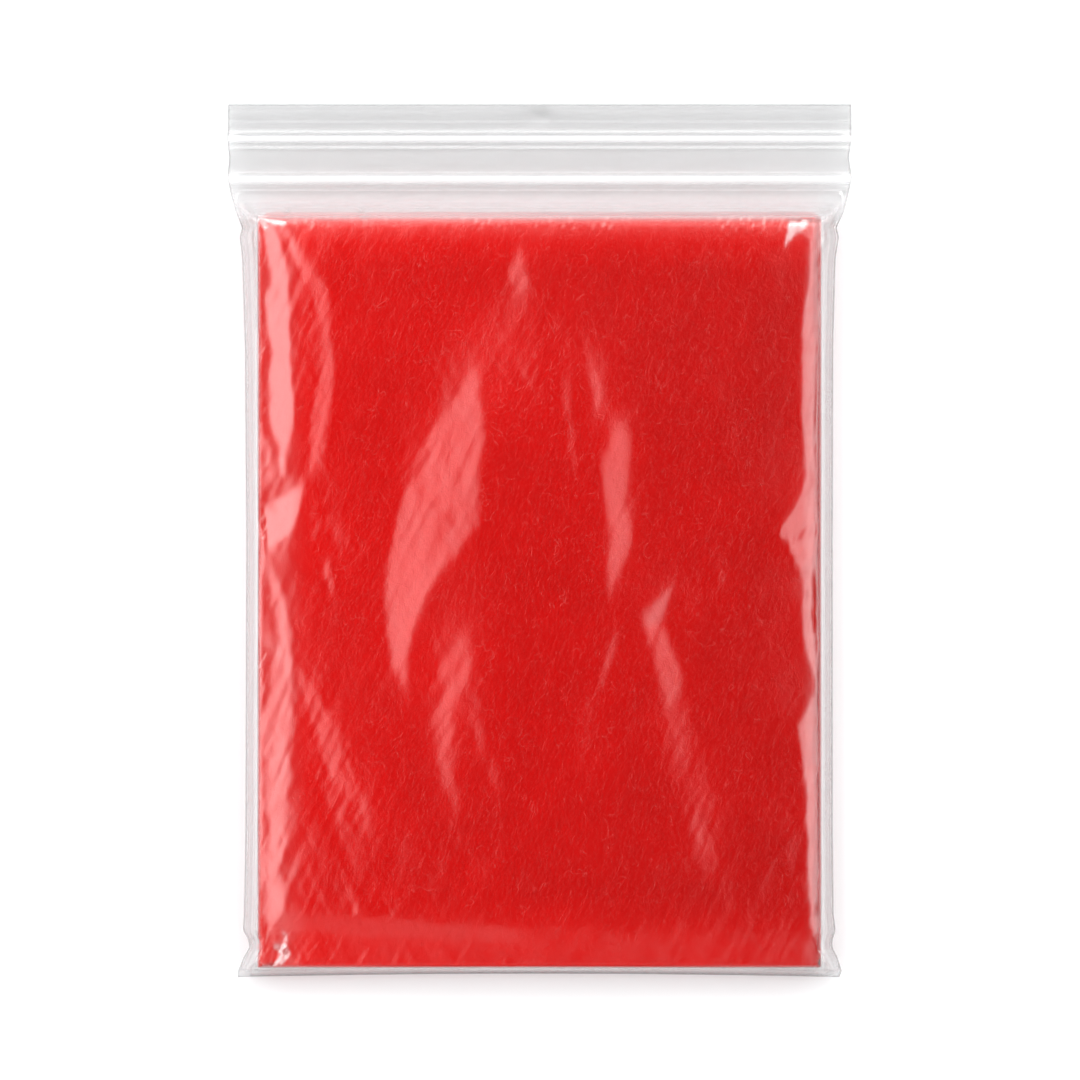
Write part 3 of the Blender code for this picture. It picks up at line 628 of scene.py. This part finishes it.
# %% Sizes of the packet
HALF_WIDTH = 58.5
FOOT, HEAD = -88.6, 67.3
TOP = 12.4
BACK_FACE = 0.55             # outside of the back panel, on the bag's back wall
WAIST = 7.0                  # where the two panels' rims meet, less a small gap
RIM_GAP = 0.15
PANEL_FILM = 0.3
RIGHT_EDGE = 57.7            # the panel's free edge, a little in from the packet's side


def reach_at(y):
    """How far right the panel's free edge lies: a cut edge that wanders a little."""
    return RIGHT_EDGE + 0.16 * np.sin(y / 5.3) + 0.10 * np.sin(y / 2.1 + 1.0)


def shoulder_lines(flat_from, flat_to, step, low_run, high_run, crowd=0.0, turns=7):
    """Grid lines in one direction: place on the flat, turn over the shoulder, and which side.

    crowd draws the lines closer together near both ends.
    """
    count = max(int(round((flat_to - flat_from) / step)), 1)
    over = (np.arange(1, turns + 1) / turns)
    even = np.linspace(0, 1, count + 1)
    even -= crowd * np.sin(2 * pi * even) / (2 * pi)
    place = [np.full(turns if low_run else 0, 0.0), even, np.full(turns if high_run else 0, 1.0)]
    turn = [over[::-1] if low_run else over[:0], np.zeros(count + 1),
            over if high_run else over[:0]]
    side = [np.full(len(place[0]), -1.0), np.zeros(count + 1), np.full(len(place[2]), 1.0)]
    return np.concatenate(place), np.concatenate(turn), np.concatenate(side)


LEFT_RUN, HEAD_RUN, FOOT_RUN = 0.9, 0.7, 0.8     # how far in each shoulder begins
SHEET_STEP = 0.505
CORNER = 8.0                 # how square the packet's corners are


def panel_points(step, rim, face, reach, runs, direction):
    """A panel on the packet: flat in the middle and turned over at its shoulders."""
    left_run, right_run, foot_run, head_run = runs
    flat_left, flat_right = left_run - HALF_WIDTH, HALF_WIDTH - right_run
    flat_foot, flat_head = FOOT + foot_run, HEAD - head_run
    across, turn_x, side_x = shoulder_lines(flat_left, flat_right, step, left_run, right_run, 0.4)
    upward, turn_y, side_y = shoulder_lines(flat_foot, flat_head, step, foot_run, head_run)
    across, upward = np.meshgrid(across, upward)
    turn_x, turn_y = np.meshgrid(turn_x, turn_y)
    side_x, side_y = np.meshgrid(side_x, side_y)
    turn = np.maximum(turn_x, turn_y)
    spread = (turn_x ** CORNER + turn_y ** CORNER) ** (1.0 / CORNER)
    reach_out = np.sin(turn * pi / 2) ** 0.7
    out = np.where(turn > 0, reach_out / np.maximum(spread, 1e-9), 0.0)
    run_x = np.where(side_x < 0, left_run, right_run)
    run_y = np.where(side_y < 0, foot_run, head_run)
    y = flat_foot + upward * (flat_head - flat_foot) + side_y * out * turn_y * run_y
    right = reach(y) if reach else flat_right
    x = flat_left + across * (right - flat_left) + side_x * out * turn_x * run_x
    z = face - direction * abs(face - rim) * (1.0 - (1.0 - reach_out ** 3.0) ** (1 / 3))
    return np.stack([x, y, z], axis=-1), turn


points, turn = panel_points(
    SHEET_STEP, WAIST + RIM_GAP, TOP, reach_at, (LEFT_RUN, 0.0, FOOT_RUN, HEAD_RUN), 1)
points[..., 2] += sample(relief, points[..., 0], points[..., 1]) * np.cos(turn * pi / 2)
edge_gap = reach_at(points[..., 1]) - points[..., 0]
points[..., 2] -= 0.7 * (1.0 - ease(edge_gap / 1.1)) * (turn < 0.5)
panel = make_sheet("poncho_front", points, PANEL_FILM, poncho_red,
                   {name: np.clip(sample(field, points[..., 0], points[..., 1]), 0.0, 1.0)
                    for name, field in (("glow", glow), ("painted_highlight", painted_highlight))})

# %% [markdown]
# ## The stack of folds
#
# Inside lie the body, hood and sleeves, folded up. Only the folded edges show, round the sides
# and beside the free edge. Each edge is a long soft roll that runs round the packet, so one
# node tree sweeps a flat oval along a path, and the paths are rounded rectangles, one above
# the other. The top rolls stop a little short on the right, like a loose stack of paper.

# %% One tree that sweeps an oval along a path
def sweep_tree():
    """Geometry nodes: an oval swept along a path, with a soft random waver."""
    tree = bpy.data.node_groups.new("swept oval", "GeometryNodeTree")
    for name, kind in (
            ("Geometry", "Geometry"), ("Width", "Float"), ("Depth", "Float"),
            ("Spacing", "Float"), ("Waver", "Float"), ("Waver Size", "Float"), ("Sides", "Int"),
            ("Seed", "Int"), ("Caps", "Bool"), ("Material", "Material")):
        tree.interface.new_socket(name, in_out="INPUT", socket_type="NodeSocket" + kind)
    tree.interface.new_socket("Geometry", in_out="OUTPUT", socket_type="NodeSocketGeometry")
    given = add(tree, "NodeGroupInput").outputs
    path = add(tree, "GeometryNodeMeshToCurve", Mesh=given["Geometry"]).outputs[0]
    path = add(tree, "GeometryNodeResampleCurve", {"mode": "LENGTH"}, Curve=path,
               Length=given["Spacing"]).outputs[0]
    place = add(tree, "GeometryNodeInputPosition").outputs[0]
    fine = maths(tree, "DIVIDE", 1.0, given["Waver Size"])
    noise = add(tree, "ShaderNodeTexNoise", {"noise_dimensions": "4D"}, Vector=place,
                W=given["Seed"], Scale=fine, Detail=1.0).outputs["Color"]
    centred = add(tree, "ShaderNodeVectorMath", {"operation": "SUBTRACT"}, _0=noise,
                  _1=(0.5, 0.5, 0.5)).outputs[0]
    flat = add(tree, "ShaderNodeVectorMath", {"operation": "MULTIPLY"}, _0=centred,
               _1=(1.0, 1.0, 0.35)).outputs[0]
    shift = add(tree, "ShaderNodeVectorMath", {"operation": "SCALE"}, _0=flat,
                Scale=given["Waver"]).outputs[0]
    path = add(tree, "GeometryNodeSetPosition", Geometry=path, Offset=shift).outputs[0]
    path = add(tree, "GeometryNodeSetCurveNormal", {"mode": "Z_UP"}, Curve=path).outputs[0]
    oval = add(tree, "GeometryNodeCurvePrimitiveCircle", Resolution=given["Sides"],
               Radius=0.5).outputs[0]
    size = add(tree, "ShaderNodeCombineXYZ", X=given["Width"], Y=given["Depth"], Z=1.0).outputs[0]
    oval = add(tree, "GeometryNodeTransform", Geometry=oval, Scale=size).outputs[0]
    body = add(tree, "GeometryNodeCurveToMesh", Curve=path, Profile_Curve=oval,
               Fill_Caps=given["Caps"]).outputs[0]
    body = add(tree, "GeometryNodeSetShadeSmooth", Geometry=body).outputs[0]
    body = add(tree, "GeometryNodeRealizeInstances", Geometry=body).outputs[0]
    body = add(tree, "GeometryNodeSetMaterial", Geometry=body,
               Material=given["Material"]).outputs[0]
    end = add(tree, "NodeGroupOutput")
    tree.links.new(body, end.inputs[0])
    return tree


SWEPT_OVAL = sweep_tree()


def sweep(name, paths, material, **sizes):
    """Sweeps the oval along paths in millimetres, each (points, closed), into one plain mesh."""
    corners, edges = [], []
    for path, closed in paths:
        first = len(corners)
        corners += [tuple(c * MM for c in point) for point in path]
        edges += [(first + i, first + i + 1) for i in range(len(path) - 1)]
        if closed:
            edges.append((first + len(path) - 1, first))
    guide = bpy.data.meshes.new(name + "_path")
    guide.from_pydata(corners, edges, [])
    holder = put(name + "_path", guide)
    modifier = holder.modifiers.new("sweep", "NODES")
    modifier.node_group = SWEPT_OVAL
    sizes["Material"] = material
    for item in SWEPT_OVAL.interface.items_tree:
        if item.in_out == "INPUT" and item.name.replace(" ", "_") in sizes:
            modifier[item.identifier] = sizes[item.name.replace(" ", "_")]
    bpy.context.view_layer.update()
    seen = holder.evaluated_get(bpy.context.evaluated_depsgraph_get())
    mesh = bpy.data.meshes.new_from_object(seen)
    holder.modifiers.remove(modifier)
    bpy.data.objects.remove(holder)
    mesh.name = name
    piece = put(name, mesh)
    mesh.calc_loop_triangles()
    print(f"{name}: {len(paths)} paths swept, {len(mesh.loop_triangles)} triangles")
    return piece


# %% The stack's core and its folded edges
STACK_BOTTOM, STACK_TOP = 1.5, 10.5
UNDERSIDE = 0.9              # where the rolls' lower shoulder ends
ROLLS = 13
SIDE_GAP = 0.55              # from the packet's outline in to the rolls


def shoulder_in(z, run):
    """How far in from the packet's outline its shoulder lies at a height."""
    face = TOP if z > WAIST else UNDERSIDE
    level = min(abs(face - z) / abs(face - WAIST), 1.0)
    return run * (1.0 - (1.0 - (1.0 - level) ** 2) ** 0.5)


def round_rectangle(left, right, foot, head, z, corner=1.6):
    """Points round a rectangle with soft corners."""
    path = []
    for index, (x, y) in enumerate(((right, head), (left, head), (left, foot), (right, foot))):
        x -= corner if x > 0 else -corner
        y -= corner if y > 0 else -corner
        for turned in np.linspace(index, index + 1, 6) * pi / 2:
            path.append((x + corner * cos(turned), y + corner * sin(turned), z))
    return path


roll_height = (STACK_TOP - STACK_BOTTOM) / ROLLS
roll_paths = []
for index in range(ROLLS):
    z = STACK_BOTTOM + (index + 0.5) * roll_height
    inset = shoulder_in(z, LEFT_RUN) + SIDE_GAP
    step_in = 0.9 if z < WAIST else 0.35 + 1.9 * ((z - WAIST) / (STACK_TOP - WAIST)) ** 1.6
    roll_paths.append((round_rectangle(
        inset - HALF_WIDTH + 0.5, HALF_WIDTH - step_in - 0.3,
        FOOT + inset + 0.5, HEAD + 0.1 if z < 8.5 else HEAD - inset - 0.5, z), True))
rolls = sweep("stack_rolls", roll_paths, lightened_layers_red, Width=1.5 * MM, Depth=roll_height * 1.02 * MM,
              Spacing=1.0 * MM, Waver=0.5 * MM, Waver_Size=16 * MM, Sides=8, Seed=4, Caps=False)

core_mesh = bmesh.new()
rings = []
for z in np.linspace(STACK_BOTTOM + 0.1, STACK_TOP - 0.1, 9):
    inset = shoulder_in(z, LEFT_RUN) + SIDE_GAP + 0.6
    right_in = 3.4 if z > WAIST else inset
    path = round_rectangle(
        inset - HALF_WIDTH, HALF_WIDTH - right_in, FOOT + inset, HEAD - inset, z)
    rings.append([core_mesh.verts.new(Vector(point) * MM) for point in path])
for low, high in zip(rings, rings[1:]):
    for here in range(len(low)):
        there = (here + 1) % len(low)
        core_mesh.faces.new((low[here], low[there], high[there], high[here]))
core_mesh.faces.new(rings[0][::-1])
core_mesh.faces.new(rings[-1])
core_data = bpy.data.meshes.new("stack_core")
core_mesh.to_mesh(core_data)
core_mesh.free()
core_data.materials.append(lightened_layers_red)
core = put("stack_core", core_data)

# %% [markdown]
# ## The back panel
#
# The sheet underneath lies on the bag's back wall. It is flat where the packet rests, and
# turned up all round. It gets its own shallow creases, so the packet looks right from below.
# They are random streaks, since the photograph doesn't show that side.

# %% The back panel
CREASE_ROOM = 0.2            # how far the creases may go up or down
back_relief = 0.10 * streaks(80, 40.0, 9.0, 31) + 0.05 * streaks(120, 18.0, 5.0, 32)
back_relief = np.clip(back_relief, -CREASE_ROOM, CREASE_ROOM)
points, turn = panel_points(
    1.2, WAIST - RIM_GAP, BACK_FACE, None, (LEFT_RUN, LEFT_RUN, FOOT_RUN, HEAD_RUN), -1)
points[..., 2] += np.cos(turn * pi / 2) * (
    CREASE_ROOM + sample(back_relief, points[..., 0], points[..., 1]))
back = make_sheet("poncho_back", points, PANEL_FILM, poncho_red, facing=-1)

# %% [markdown]
# ## Clear polythene
#
# The bag is blown low-density polythene, clear but not colourless: each skin takes a little
# light away, so the two walls of the lip look pale grey over a white table. Its skin is glossy.
# Three marks on the mesh vary it. One darkens the thicker zip strip, and also paints dark lines of
# shade along the bag's edges. One mixes in white as painted light: highlights on the zip's ribs
# and the lines of the lip, and lighter film where the packet's shade falls beside it, at its head
# and over the foot strip. `slack` adds the mirror light of film that stands off what it covers.

# %% The bag's material
def clear_polythene(name, tint, dense_tint, roughness):
    """Clear film: light passes straight on, and a share of it glances off."""
    material = bpy.data.materials.new(name)
    material.use_nodes = True
    tree = material.node_tree
    tree.nodes.remove(tree.nodes["Principled BSDF"])
    colour = add(tree, "ShaderNodeMix", {"data_type": "RGBA"},
                 Factor=read_mark(tree, "thickening_and_edge_shade"))
    colour.inputs[6].default_value = linear(tint)
    colour.inputs[7].default_value = linear(dense_tint)
    clear = add(tree, "ShaderNodeBsdfTransparent", Color=colour.outputs[2]).outputs[0]
    # The whitening mark mixes in a white diffuse skin: painted light, for highlights on the zip's
    # ribs and lighter film where shade falls.
    milky = add(tree, "ShaderNodeBsdfDiffuse", Color=linear("F7F7F8")).outputs[0]
    body = add(tree, "ShaderNodeMixShader", _0=read_mark(tree, "haze"), _1=clear,
               _2=milky).outputs[0]
    place = add(tree, "ShaderNodeTexCoord").outputs["Object"]
    grain = add(tree, "ShaderNodeTexNoise", Vector=place, Scale=260.0, Detail=2.0).outputs["Fac"]
    bump = add(tree, "ShaderNodeBump", Height=grain, Strength=0.35, Distance=0.00003).outputs[0]
    facing = add(tree, "ShaderNodeLayerWeight", Blend=0.5, Normal=bump).outputs["Facing"]
    least = maths(tree, "MULTIPLY_ADD", read_mark(tree, "slack"), 0.026, 0.011)
    share = add(tree, "ShaderNodeMapRange", Value=maths(tree, "POWER", facing, 4.0), To_Min=least,
                To_Max=0.5).outputs[0]
    gloss = add(tree, "ShaderNodeBsdfAnisotropic", Roughness=roughness, Normal=bump).outputs[0]
    film = add(tree, "ShaderNodeMixShader", _0=share, _1=body, _2=gloss).outputs[0]
    tree.links.new(film, tree.nodes["Material Output"].inputs["Surface"])
    return material


bag_film = clear_polythene("clear_polythene_film", "FBFBFB", "E2E2E2", 0.17)
zip_plastic = clear_polythene("clear_polythene_zip", "FFFFFF", "F0F0F0", 0.2)

# %% [markdown]
# ## The bag's walls
#
# The film is stretched over the packet and falls to the welds at its sides and foot. Its height
# is worked out point by point: a profile for each side, the packet it rests on, and the same
# height map of creases. The mouth is flat, with ribs where the zip's tracks press through.

# %% The bag's outline and profiles
BAG_FOOT, BAG_MOUTH = -90.75, 90.75
FILM = 0.2
FILM_CLEAR = 0.45            # between the packet and the film over it
FILM_TOP = TOP + FILM_CLEAR
FILM_FOOT = FOOT - FILM_CLEAR
HALF_BAG = 62.0              # about half the bag's width, which the grid's columns share out
EDGE_BAND = 7.0              # the columns are closer together this near a side

# Where the bag's edges lie at a height along it, and how high above the table their seam is
Outline = namedtuple("Outline", "up left right seam")
OUTLINE = (
    Outline(-90.75, 62.7, 62.3, 5.2), Outline(-89.4, 62.6, 62.8, 5.4),
    Outline(-86.6, 61.5, 61.9, 5.8), Outline(-84.6, 60.3, 60.9, 6.0),
    Outline(-83.2, 60.4, 60.8, 6.1), Outline(-81.0, 61.6, 61.5, 6.2),
    Outline(-77.5, 61.4, 61.1, 6.2), Outline(-60.0, 61.1, 60.9, 6.2),
    Outline(0.0, 60.9, 60.9, 6.2), Outline(40.0, 61.2, 61.0, 6.2),
    Outline(58.5, 61.8, 61.5, 6.0), Outline(63.0, 62.3, 62.2, 5.9),
    Outline(65.0, 61.8, 61.7, 5.8), Outline(68.5, 63.2, 63.3, 5.6),
    Outline(71.7, 64.1, 64.1, 5.4), Outline(75.4, 64.9, 64.9, 5.2),
    Outline(79.6, 64.5, 64.3, 4.7), Outline(83.6, 65.0, 64.9, 4.2),
    Outline(86.0, 64.8, 64.9, 3.9), Outline(90.75, 64.8, 64.9, 3.4),
)
# The film's profile at each edge: how far in, and its share of the full height there
SIDE_LEFT = ((0.0, 0.0), (0.9, 0.03), (1.5, 0.38), (2.1, 0.76), (2.7, 0.96), (3.4, 1.0))
SIDE_RIGHT = ((0.0, 0.0), (0.9, 0.03), (1.5, 0.40), (2.0, 0.76), (2.6, 0.96), (3.3, 1.0))
SIDE_FOOT = ((0.0, 0.0), (1.0, 0.02), (1.5, 0.34), (2.0, 0.70), (2.6, 0.93), (3.4, 0.99),
             (4.5, 1.0))
SIDE_HEAD = ((18.05, 0.0), (19.2, 0.06), (20.6, 0.22), (21.8, 0.48), (22.8, 0.76), (23.5, 0.93),
             (24.4, 0.99), (25.5, 1.0))
ZIP_RIBS = (                  # up, half width, rise of each line along the mouth
    (75.15, 0.9, 0.28), (83.6, 0.9, 0.28), (81.75, 0.4, 0.03), (84.95, 0.4, 0.03),
    (90.3, 0.4, 0.06),
)

# How much denser than the bag's film, and how much white is mixed in as painted light. The dense
# last rows paint a dark line of shade along the mouth's edge. The first row holds below it as
# well.
Mark = namedtuple("Mark", "up density haze")
MOUTH_MARKS = (
    Mark(66.2, 0, 0), Mark(66.9, 0, 0.16), Mark(67.4, 0, 0.3), Mark(68.5, 0, 0.3),
    Mark(70, 0.02, 0.22), Mark(72, 0.05, 0.08), Mark(73.05, 0.06, 0), Mark(73.15, 0.03, 0.05),
    Mark(73.45, 0.03, 0.05), Mark(73.6, 0.05, 0), Mark(74.2, 0.06, 0.1), Mark(74.6, 0, 0.45),
    Mark(75.6, 0, 0.45), Mark(76.1, 0.1, 0.1), Mark(76.9, 0.18, 0), Mark(77.3, 0.24, 0),
    Mark(78, 0.27, 0), Mark(79.6, 0.27, 0), Mark(81.3, 0.24, 0), Mark(81.6, 0.12, 0.15),
    Mark(81.85, 0.12, 0.15), Mark(82.1, 0.2, 0), Mark(82.75, 0.18, 0.05), Mark(83.15, 0, 0.45),
    Mark(84.05, 0, 0.45), Mark(84.4, 0.2, 0.05), Mark(84.7, 0.22, 0), Mark(84.9, 0.1, 0.2),
    Mark(85.1, 0.1, 0.2), Mark(85.3, 0.26, 0), Mark(86.8, 0.28, 0), Mark(86.95, 0.2, 0.05),
    Mark(87.15, 0.2, 0.05), Mark(87.35, 0.28, 0), Mark(90.3, 0.28, 0), Mark(90.5, 0.6, 0),
    Mark(90.75, 0.6, 0),
)


def mouth_mark(name, y):
    """One of the marks along the mouth, read at heights."""
    return np.interp(y, [m.up for m in MOUTH_MARKS], [getattr(m, name) for m in MOUTH_MARKS])


def column_of(name, y):
    """A column of the outline's table read at heights, straight between its rows."""
    return np.interp(y, [o.up for o in OUTLINE], [getattr(o, name) for o in OUTLINE])


def rise(table, distance):
    """A profile read at distances in from the bag's edge: 0 at the seam, 1 on the flat."""
    places, levels = zip(*table)
    return np.interp(distance, places, levels)


def packet_height(x, y):
    """Height of the uncreased front panel as the film meets it, and how flat it is there."""
    turn_x = np.clip(1.0 - (x + HALF_WIDTH) / LEFT_RUN, 0.0, 1.0)
    turn_foot = np.clip(1.0 - (y - FILM_FOOT) / FOOT_RUN, 0.0, 1.0)
    turn_head = np.clip(1.0 - (HEAD - y) / HEAD_RUN, 0.0, 1.0)
    turn_y = np.maximum(turn_foot, turn_head)
    turn_right = np.clip(1.0 - (HALF_WIDTH - x) / 1.0, 0.0, 1.0)
    turn_x = np.maximum(turn_x, turn_right)
    turn = np.minimum((turn_x ** CORNER + turn_y ** CORNER) ** (1.0 / CORNER), 1.0)
    flat = (1.0 - turn ** 3.0) ** (1 / 3)
    return TOP - (TOP - WAIST) * (1.0 - flat), flat


def bag_grid():
    """Places of the bag's grid: rows up to the mouth, columns closer together near the sides."""
    rows = np.concatenate([
        np.arange(BAG_FOOT, -84.0, 0.35), np.arange(-84.0, 62.0, 0.68), np.arange(62.0, 72.0, 0.4),
        np.arange(72.0, BAG_MOUTH - 0.1, 0.2), [BAG_MOUTH]])
    edge = np.concatenate([np.arange(0.0, 4.0, 0.36), np.arange(4.0, EDGE_BAND, 0.5)]) / HALF_BAG
    middle = np.linspace(-1.0, 1.0, 171)
    middle = (middle + 0.4 * np.sin(pi * middle) / pi) * (1.0 - EDGE_BAND / HALF_BAG)
    columns = np.concatenate([-1.0 + edge, middle, (1.0 - edge)[::-1]])
    share, y = np.meshgrid(columns, rows)
    half = (column_of("left", y) + column_of("right", y)) / 2
    middle_line = (column_of("right", y) - column_of("left", y)) / 2
    bow = 0.7 * (1.0 - share ** 2) * ease((-80.0 - y) / 10.0)
    return middle_line + share * half, y + bow, half * (1.0 - np.abs(share)), y - BAG_FOOT


def cover_height(x, y, inward, above_foot):
    """How much of its full height the film has at a point, from 0 at the seams to 1."""
    side = np.where(x < 0, rise(SIDE_LEFT, inward), rise(SIDE_RIGHT, inward))
    foot, head = rise(SIDE_FOOT, above_foot), rise(SIDE_HEAD, BAG_MOUTH - y)
    falls = [1.0 - side, 1.0 - foot, 1.0 - head]
    return 1.0 - np.minimum(sum(fall ** 4 for fall in falls) ** 0.25, 1.0)


# %% The front wall of the bag
FILM_PATCHES = (
    Patch("corner facet, top right", (-0.36, -0.08), 0.6, 0.1, (
        (51.8, 67), (57.3, 66.8), (50.7, 61.1)), 5.0),
    Patch("corner fan, top right", (-0.24, 0.06), 0.6, 0.2, (
        (57.6, 68.4), (63.4, 72.7), (64.2, 71.9), (58.6, 67.5)), 4.0),
    Patch("side curve, top right", (-0.32, 0.0), 0.6, 0.2, (
        (59.9, 69), (60.9, 69), (62.8, 64.6), (62.6, 60.3), (61.5, 60.3), (61.5, 64)), 6.0),
    Patch("corner curve, top left", (0.24, 0.06), 0.6, 0.2, (
        (-63.5, 71.5), (-61.5, 70.6), (-58.4, 68), (-56.3, 64.7), (-57.2, 64.4), (-59.1, 66.9),
        (-61.9, 69.4)), 5.0),
    Patch("corner glint, top left", (0.26, 0.0), 0.5, 0.2, (
        (-57.1, 66.9), (-54.9, 66.4), (-52.4, 66.1), (-52.7, 65.1), (-54.9, 65.4),
        (-56.8, 65.8)), 5.0),
    Patch("head glint, left", (0.25, 0.05), 0.5, 0.2, (
        (-52.8, 68.8), (-51.7, 69.2), (-51.4, 67.4), (-52.5, 67.1)), 4.0),
    Patch("head glint", (0.22, 0.1), 0.5, 0.2, (
        (-37.9, 69.1), (-36.6, 68.8), (-35.5, 66.6), (-36.4, 66.2), (-37.3, 67.7)), 4.0),
    Patch("corner crystal, foot left", (0.3, 0.02), 0.5, 0.2, (
        (-55.2, -83.8), (-54.1, -83.3), (-53.7, -84.1), (-52.7, -83.3), (-52, -84.1),
        (-51.8, -85.8), (-53.3, -87.8), (-57.1, -88.8), (-57.7, -88.1), (-54.1, -86.8),
        (-53.3, -85.5), (-54.9, -84.6)), 6.0),
    Patch("corner chip, foot left", (0.28, 0.05), 0.5, 0.2, (
        (-53.4, -81.1), (-52.4, -80.9), (-52.1, -82.7), (-52.8, -83)), 4.0),
    Patch("mouth crumple", (0.0, 0.25), 0.6, 0.6, (
        (-2.6, 90.4), (-0.6, 88.6), (0.8, 87.6), (2, 90.2)), 2.0),
)
slope_x, slope_y = np.zeros(PLACE_X.shape), np.zeros(PLACE_X.shape)
for patch in FILM_PATCHES:
    share = patch_share(patch.outline, patch.soft, ragged_edges * 0.2)
    slope_x += patch.lean[0] * share
    slope_y += patch.lean[1] * share
film_relief = height_from_slopes(slope_x, slope_y)
film_relief += 0.015 * streaks(95, 12.0, 5.0, 42) * (PLACE_Y < 66)

x, y, inward, above_foot = bag_grid()
packet, flat = packet_height(x, y)
cover = cover_height(x, y, inward, above_foot)
seam = column_of("seam", y) + 0.02 + FILM
z = seam + cover * (FILM_TOP - seam)
over_packet = (x > -HALF_WIDTH) & (x < HALF_WIDTH) & (y > FILM_FOOT) & (y < HEAD)
z = np.where(over_packet, np.maximum(z, packet + FILM_CLEAR), z)
z += sample(relief, x, y) * np.where(over_packet, flat, 0.0)
z += sample(film_relief, x, y) * ease(inward / 2.5)
ribs = sum(size * (1.0 - ease(np.abs(y - up) / half / 1.6)) for up, half, size in ZIP_RIBS)
z += ribs * ease(inward / 3.0)
density, haze = mouth_mark("density", y), mouth_mark("haze", y)
# Painted shade: thin dark lines along the bag's side edges and its foot edge.
density = np.maximum(density, 0.6 * ease(1.0 - inward / 0.4))
density = np.maximum(density, 0.7 * ease(1.0 - above_foot / 0.5))
# Painted light: the film is whitened beside the packet's sides, over the foot strip, along the
# right strip, round the packet's rim and over its head, where the packet's shade falls.
haze += np.where(x < 0, 0.25, 0.15) * ease(1.0 - (inward - 2.4) / 0.5) * ease((66.0 - y) / 3.0)
haze += 0.10 * ease(1.0 - (above_foot - 1.2) / 0.5)
haze += 0.08 * ease(1.0 - np.abs(x - 58.5) / 0.8) * ease((66.0 - y) / 3.0)
rim_gap = np.maximum(np.maximum(np.abs(x) - HALF_WIDTH, FOOT - y), y - HEAD)
haze += 0.22 * ease(1.0 - np.abs(rim_gap - 0.1) / 0.7) * (y < 66.9)
haze += 0.08 * ease((y - 65.6) / 1.2) * (y < 66.9)
slack = 1.0 - flat * over_packet * ease((x + 52.0) / 4.0) * ease((56.0 - x) / 2.0)
for patch in PATCHES + FILM_PATCHES:
    if patch.gleam:
        share = patch_share(patch.outline, patch.soft, 0.2 * patch.fibre * ragged_edges)
        slack += patch.gleam * sample(share, x, y)
front_wall = make_sheet("bag_front", np.stack([x, y, z], axis=-1), FILM, bag_film,
                        {"thickening_and_edge_shade": density, "haze": haze, "slack": slack})

# %% The back wall of the bag
TURN_UP = 7.0                # how far in from its edges the wall leaves the table
seam = column_of("seam", y) - 0.02 - FILM
side = np.clip(1.0 - inward / TURN_UP, 0.0, 1.0)
foot = np.clip(1.0 - above_foot / TURN_UP, 0.0, 1.0)
edge = np.minimum((side ** 6 + foot ** 6) ** (1 / 6), 1.0)
head = ease((y - 63.5) / 9.2)
lift = 1.0 - (1.0 - edge ** 4.5) * (1.0 - head)
z = lift * seam
packet_base = BACK_FACE + (WAIST - RIM_GAP - BACK_FACE) * (1.0 - flat)
z = np.where(over_packet, np.minimum(z, packet_base - FILM_CLEAR), z)
# The back wall takes the same painted shade and half the painted whitening.
back_wall = make_sheet("bag_back", np.stack([x, y, z], axis=-1), FILM, bag_film,
                       {"thickening_and_edge_shade": density, "haze": haze * 0.5, "slack": slack}, facing=-1)

# %% [markdown]
# ## Zip and welds
#
# Two ribs run along the mouth, pressed into their channels between the walls, and a weld runs
# up each side. All of them follow a path, so the same swept oval makes them.

# %% Zip tracks and side welds
tracks = []
for name, up in (("zip_lower", 75.2), ("zip_upper", 83.6)):
    seam_at = float(column_of("seam", up))
    path = [(x, up, seam_at) for x in np.linspace(-62.5, 62.5, 60)]
    tracks.append(sweep(name, [(path, False)], zip_plastic, Width=1.4 * MM, Depth=0.8 * MM,
                        Spacing=1.5 * MM, Waver=0.05 * MM, Waver_Size=12 * MM, Sides=10, Seed=2,
                        Caps=True))

heights = np.linspace(BAG_FOOT + 1.0, BAG_MOUTH - 0.4, 160)
welds = []
for side, name in ((-1, "left"), (1, "right")):
    line = [(side * (float(column_of(name, h)) - 0.55), float(h), float(column_of("seam", h)))
            for h in heights]
    welds.append((line, False))
weld_beads = sweep("side_welds", welds, zip_plastic, Width=0.5 * MM, Depth=0.34 * MM,
                   Spacing=1.2 * MM, Waver=0.08 * MM, Waver_Size=5 * MM, Sides=6, Seed=7,
                   Caps=True)

# %% [markdown]
# ## Hand over
#
# Each piece is tied to the one body, and the CAD solids that the pieces stand for are hidden.

# %% Tie the pieces to the CAD model
for piece in (panel, rolls, core, back, front_wall, back_wall, weld_beads, *tracks):
    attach(piece, BODY)
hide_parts("body_front_panel")
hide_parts("body_back_panel")
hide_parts("folded_layers")
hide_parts("folded_layers")
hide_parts("bag_front_wall")
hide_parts("bag_back_wall")
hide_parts("zip_track_lower")
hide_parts("zip_track_upper")
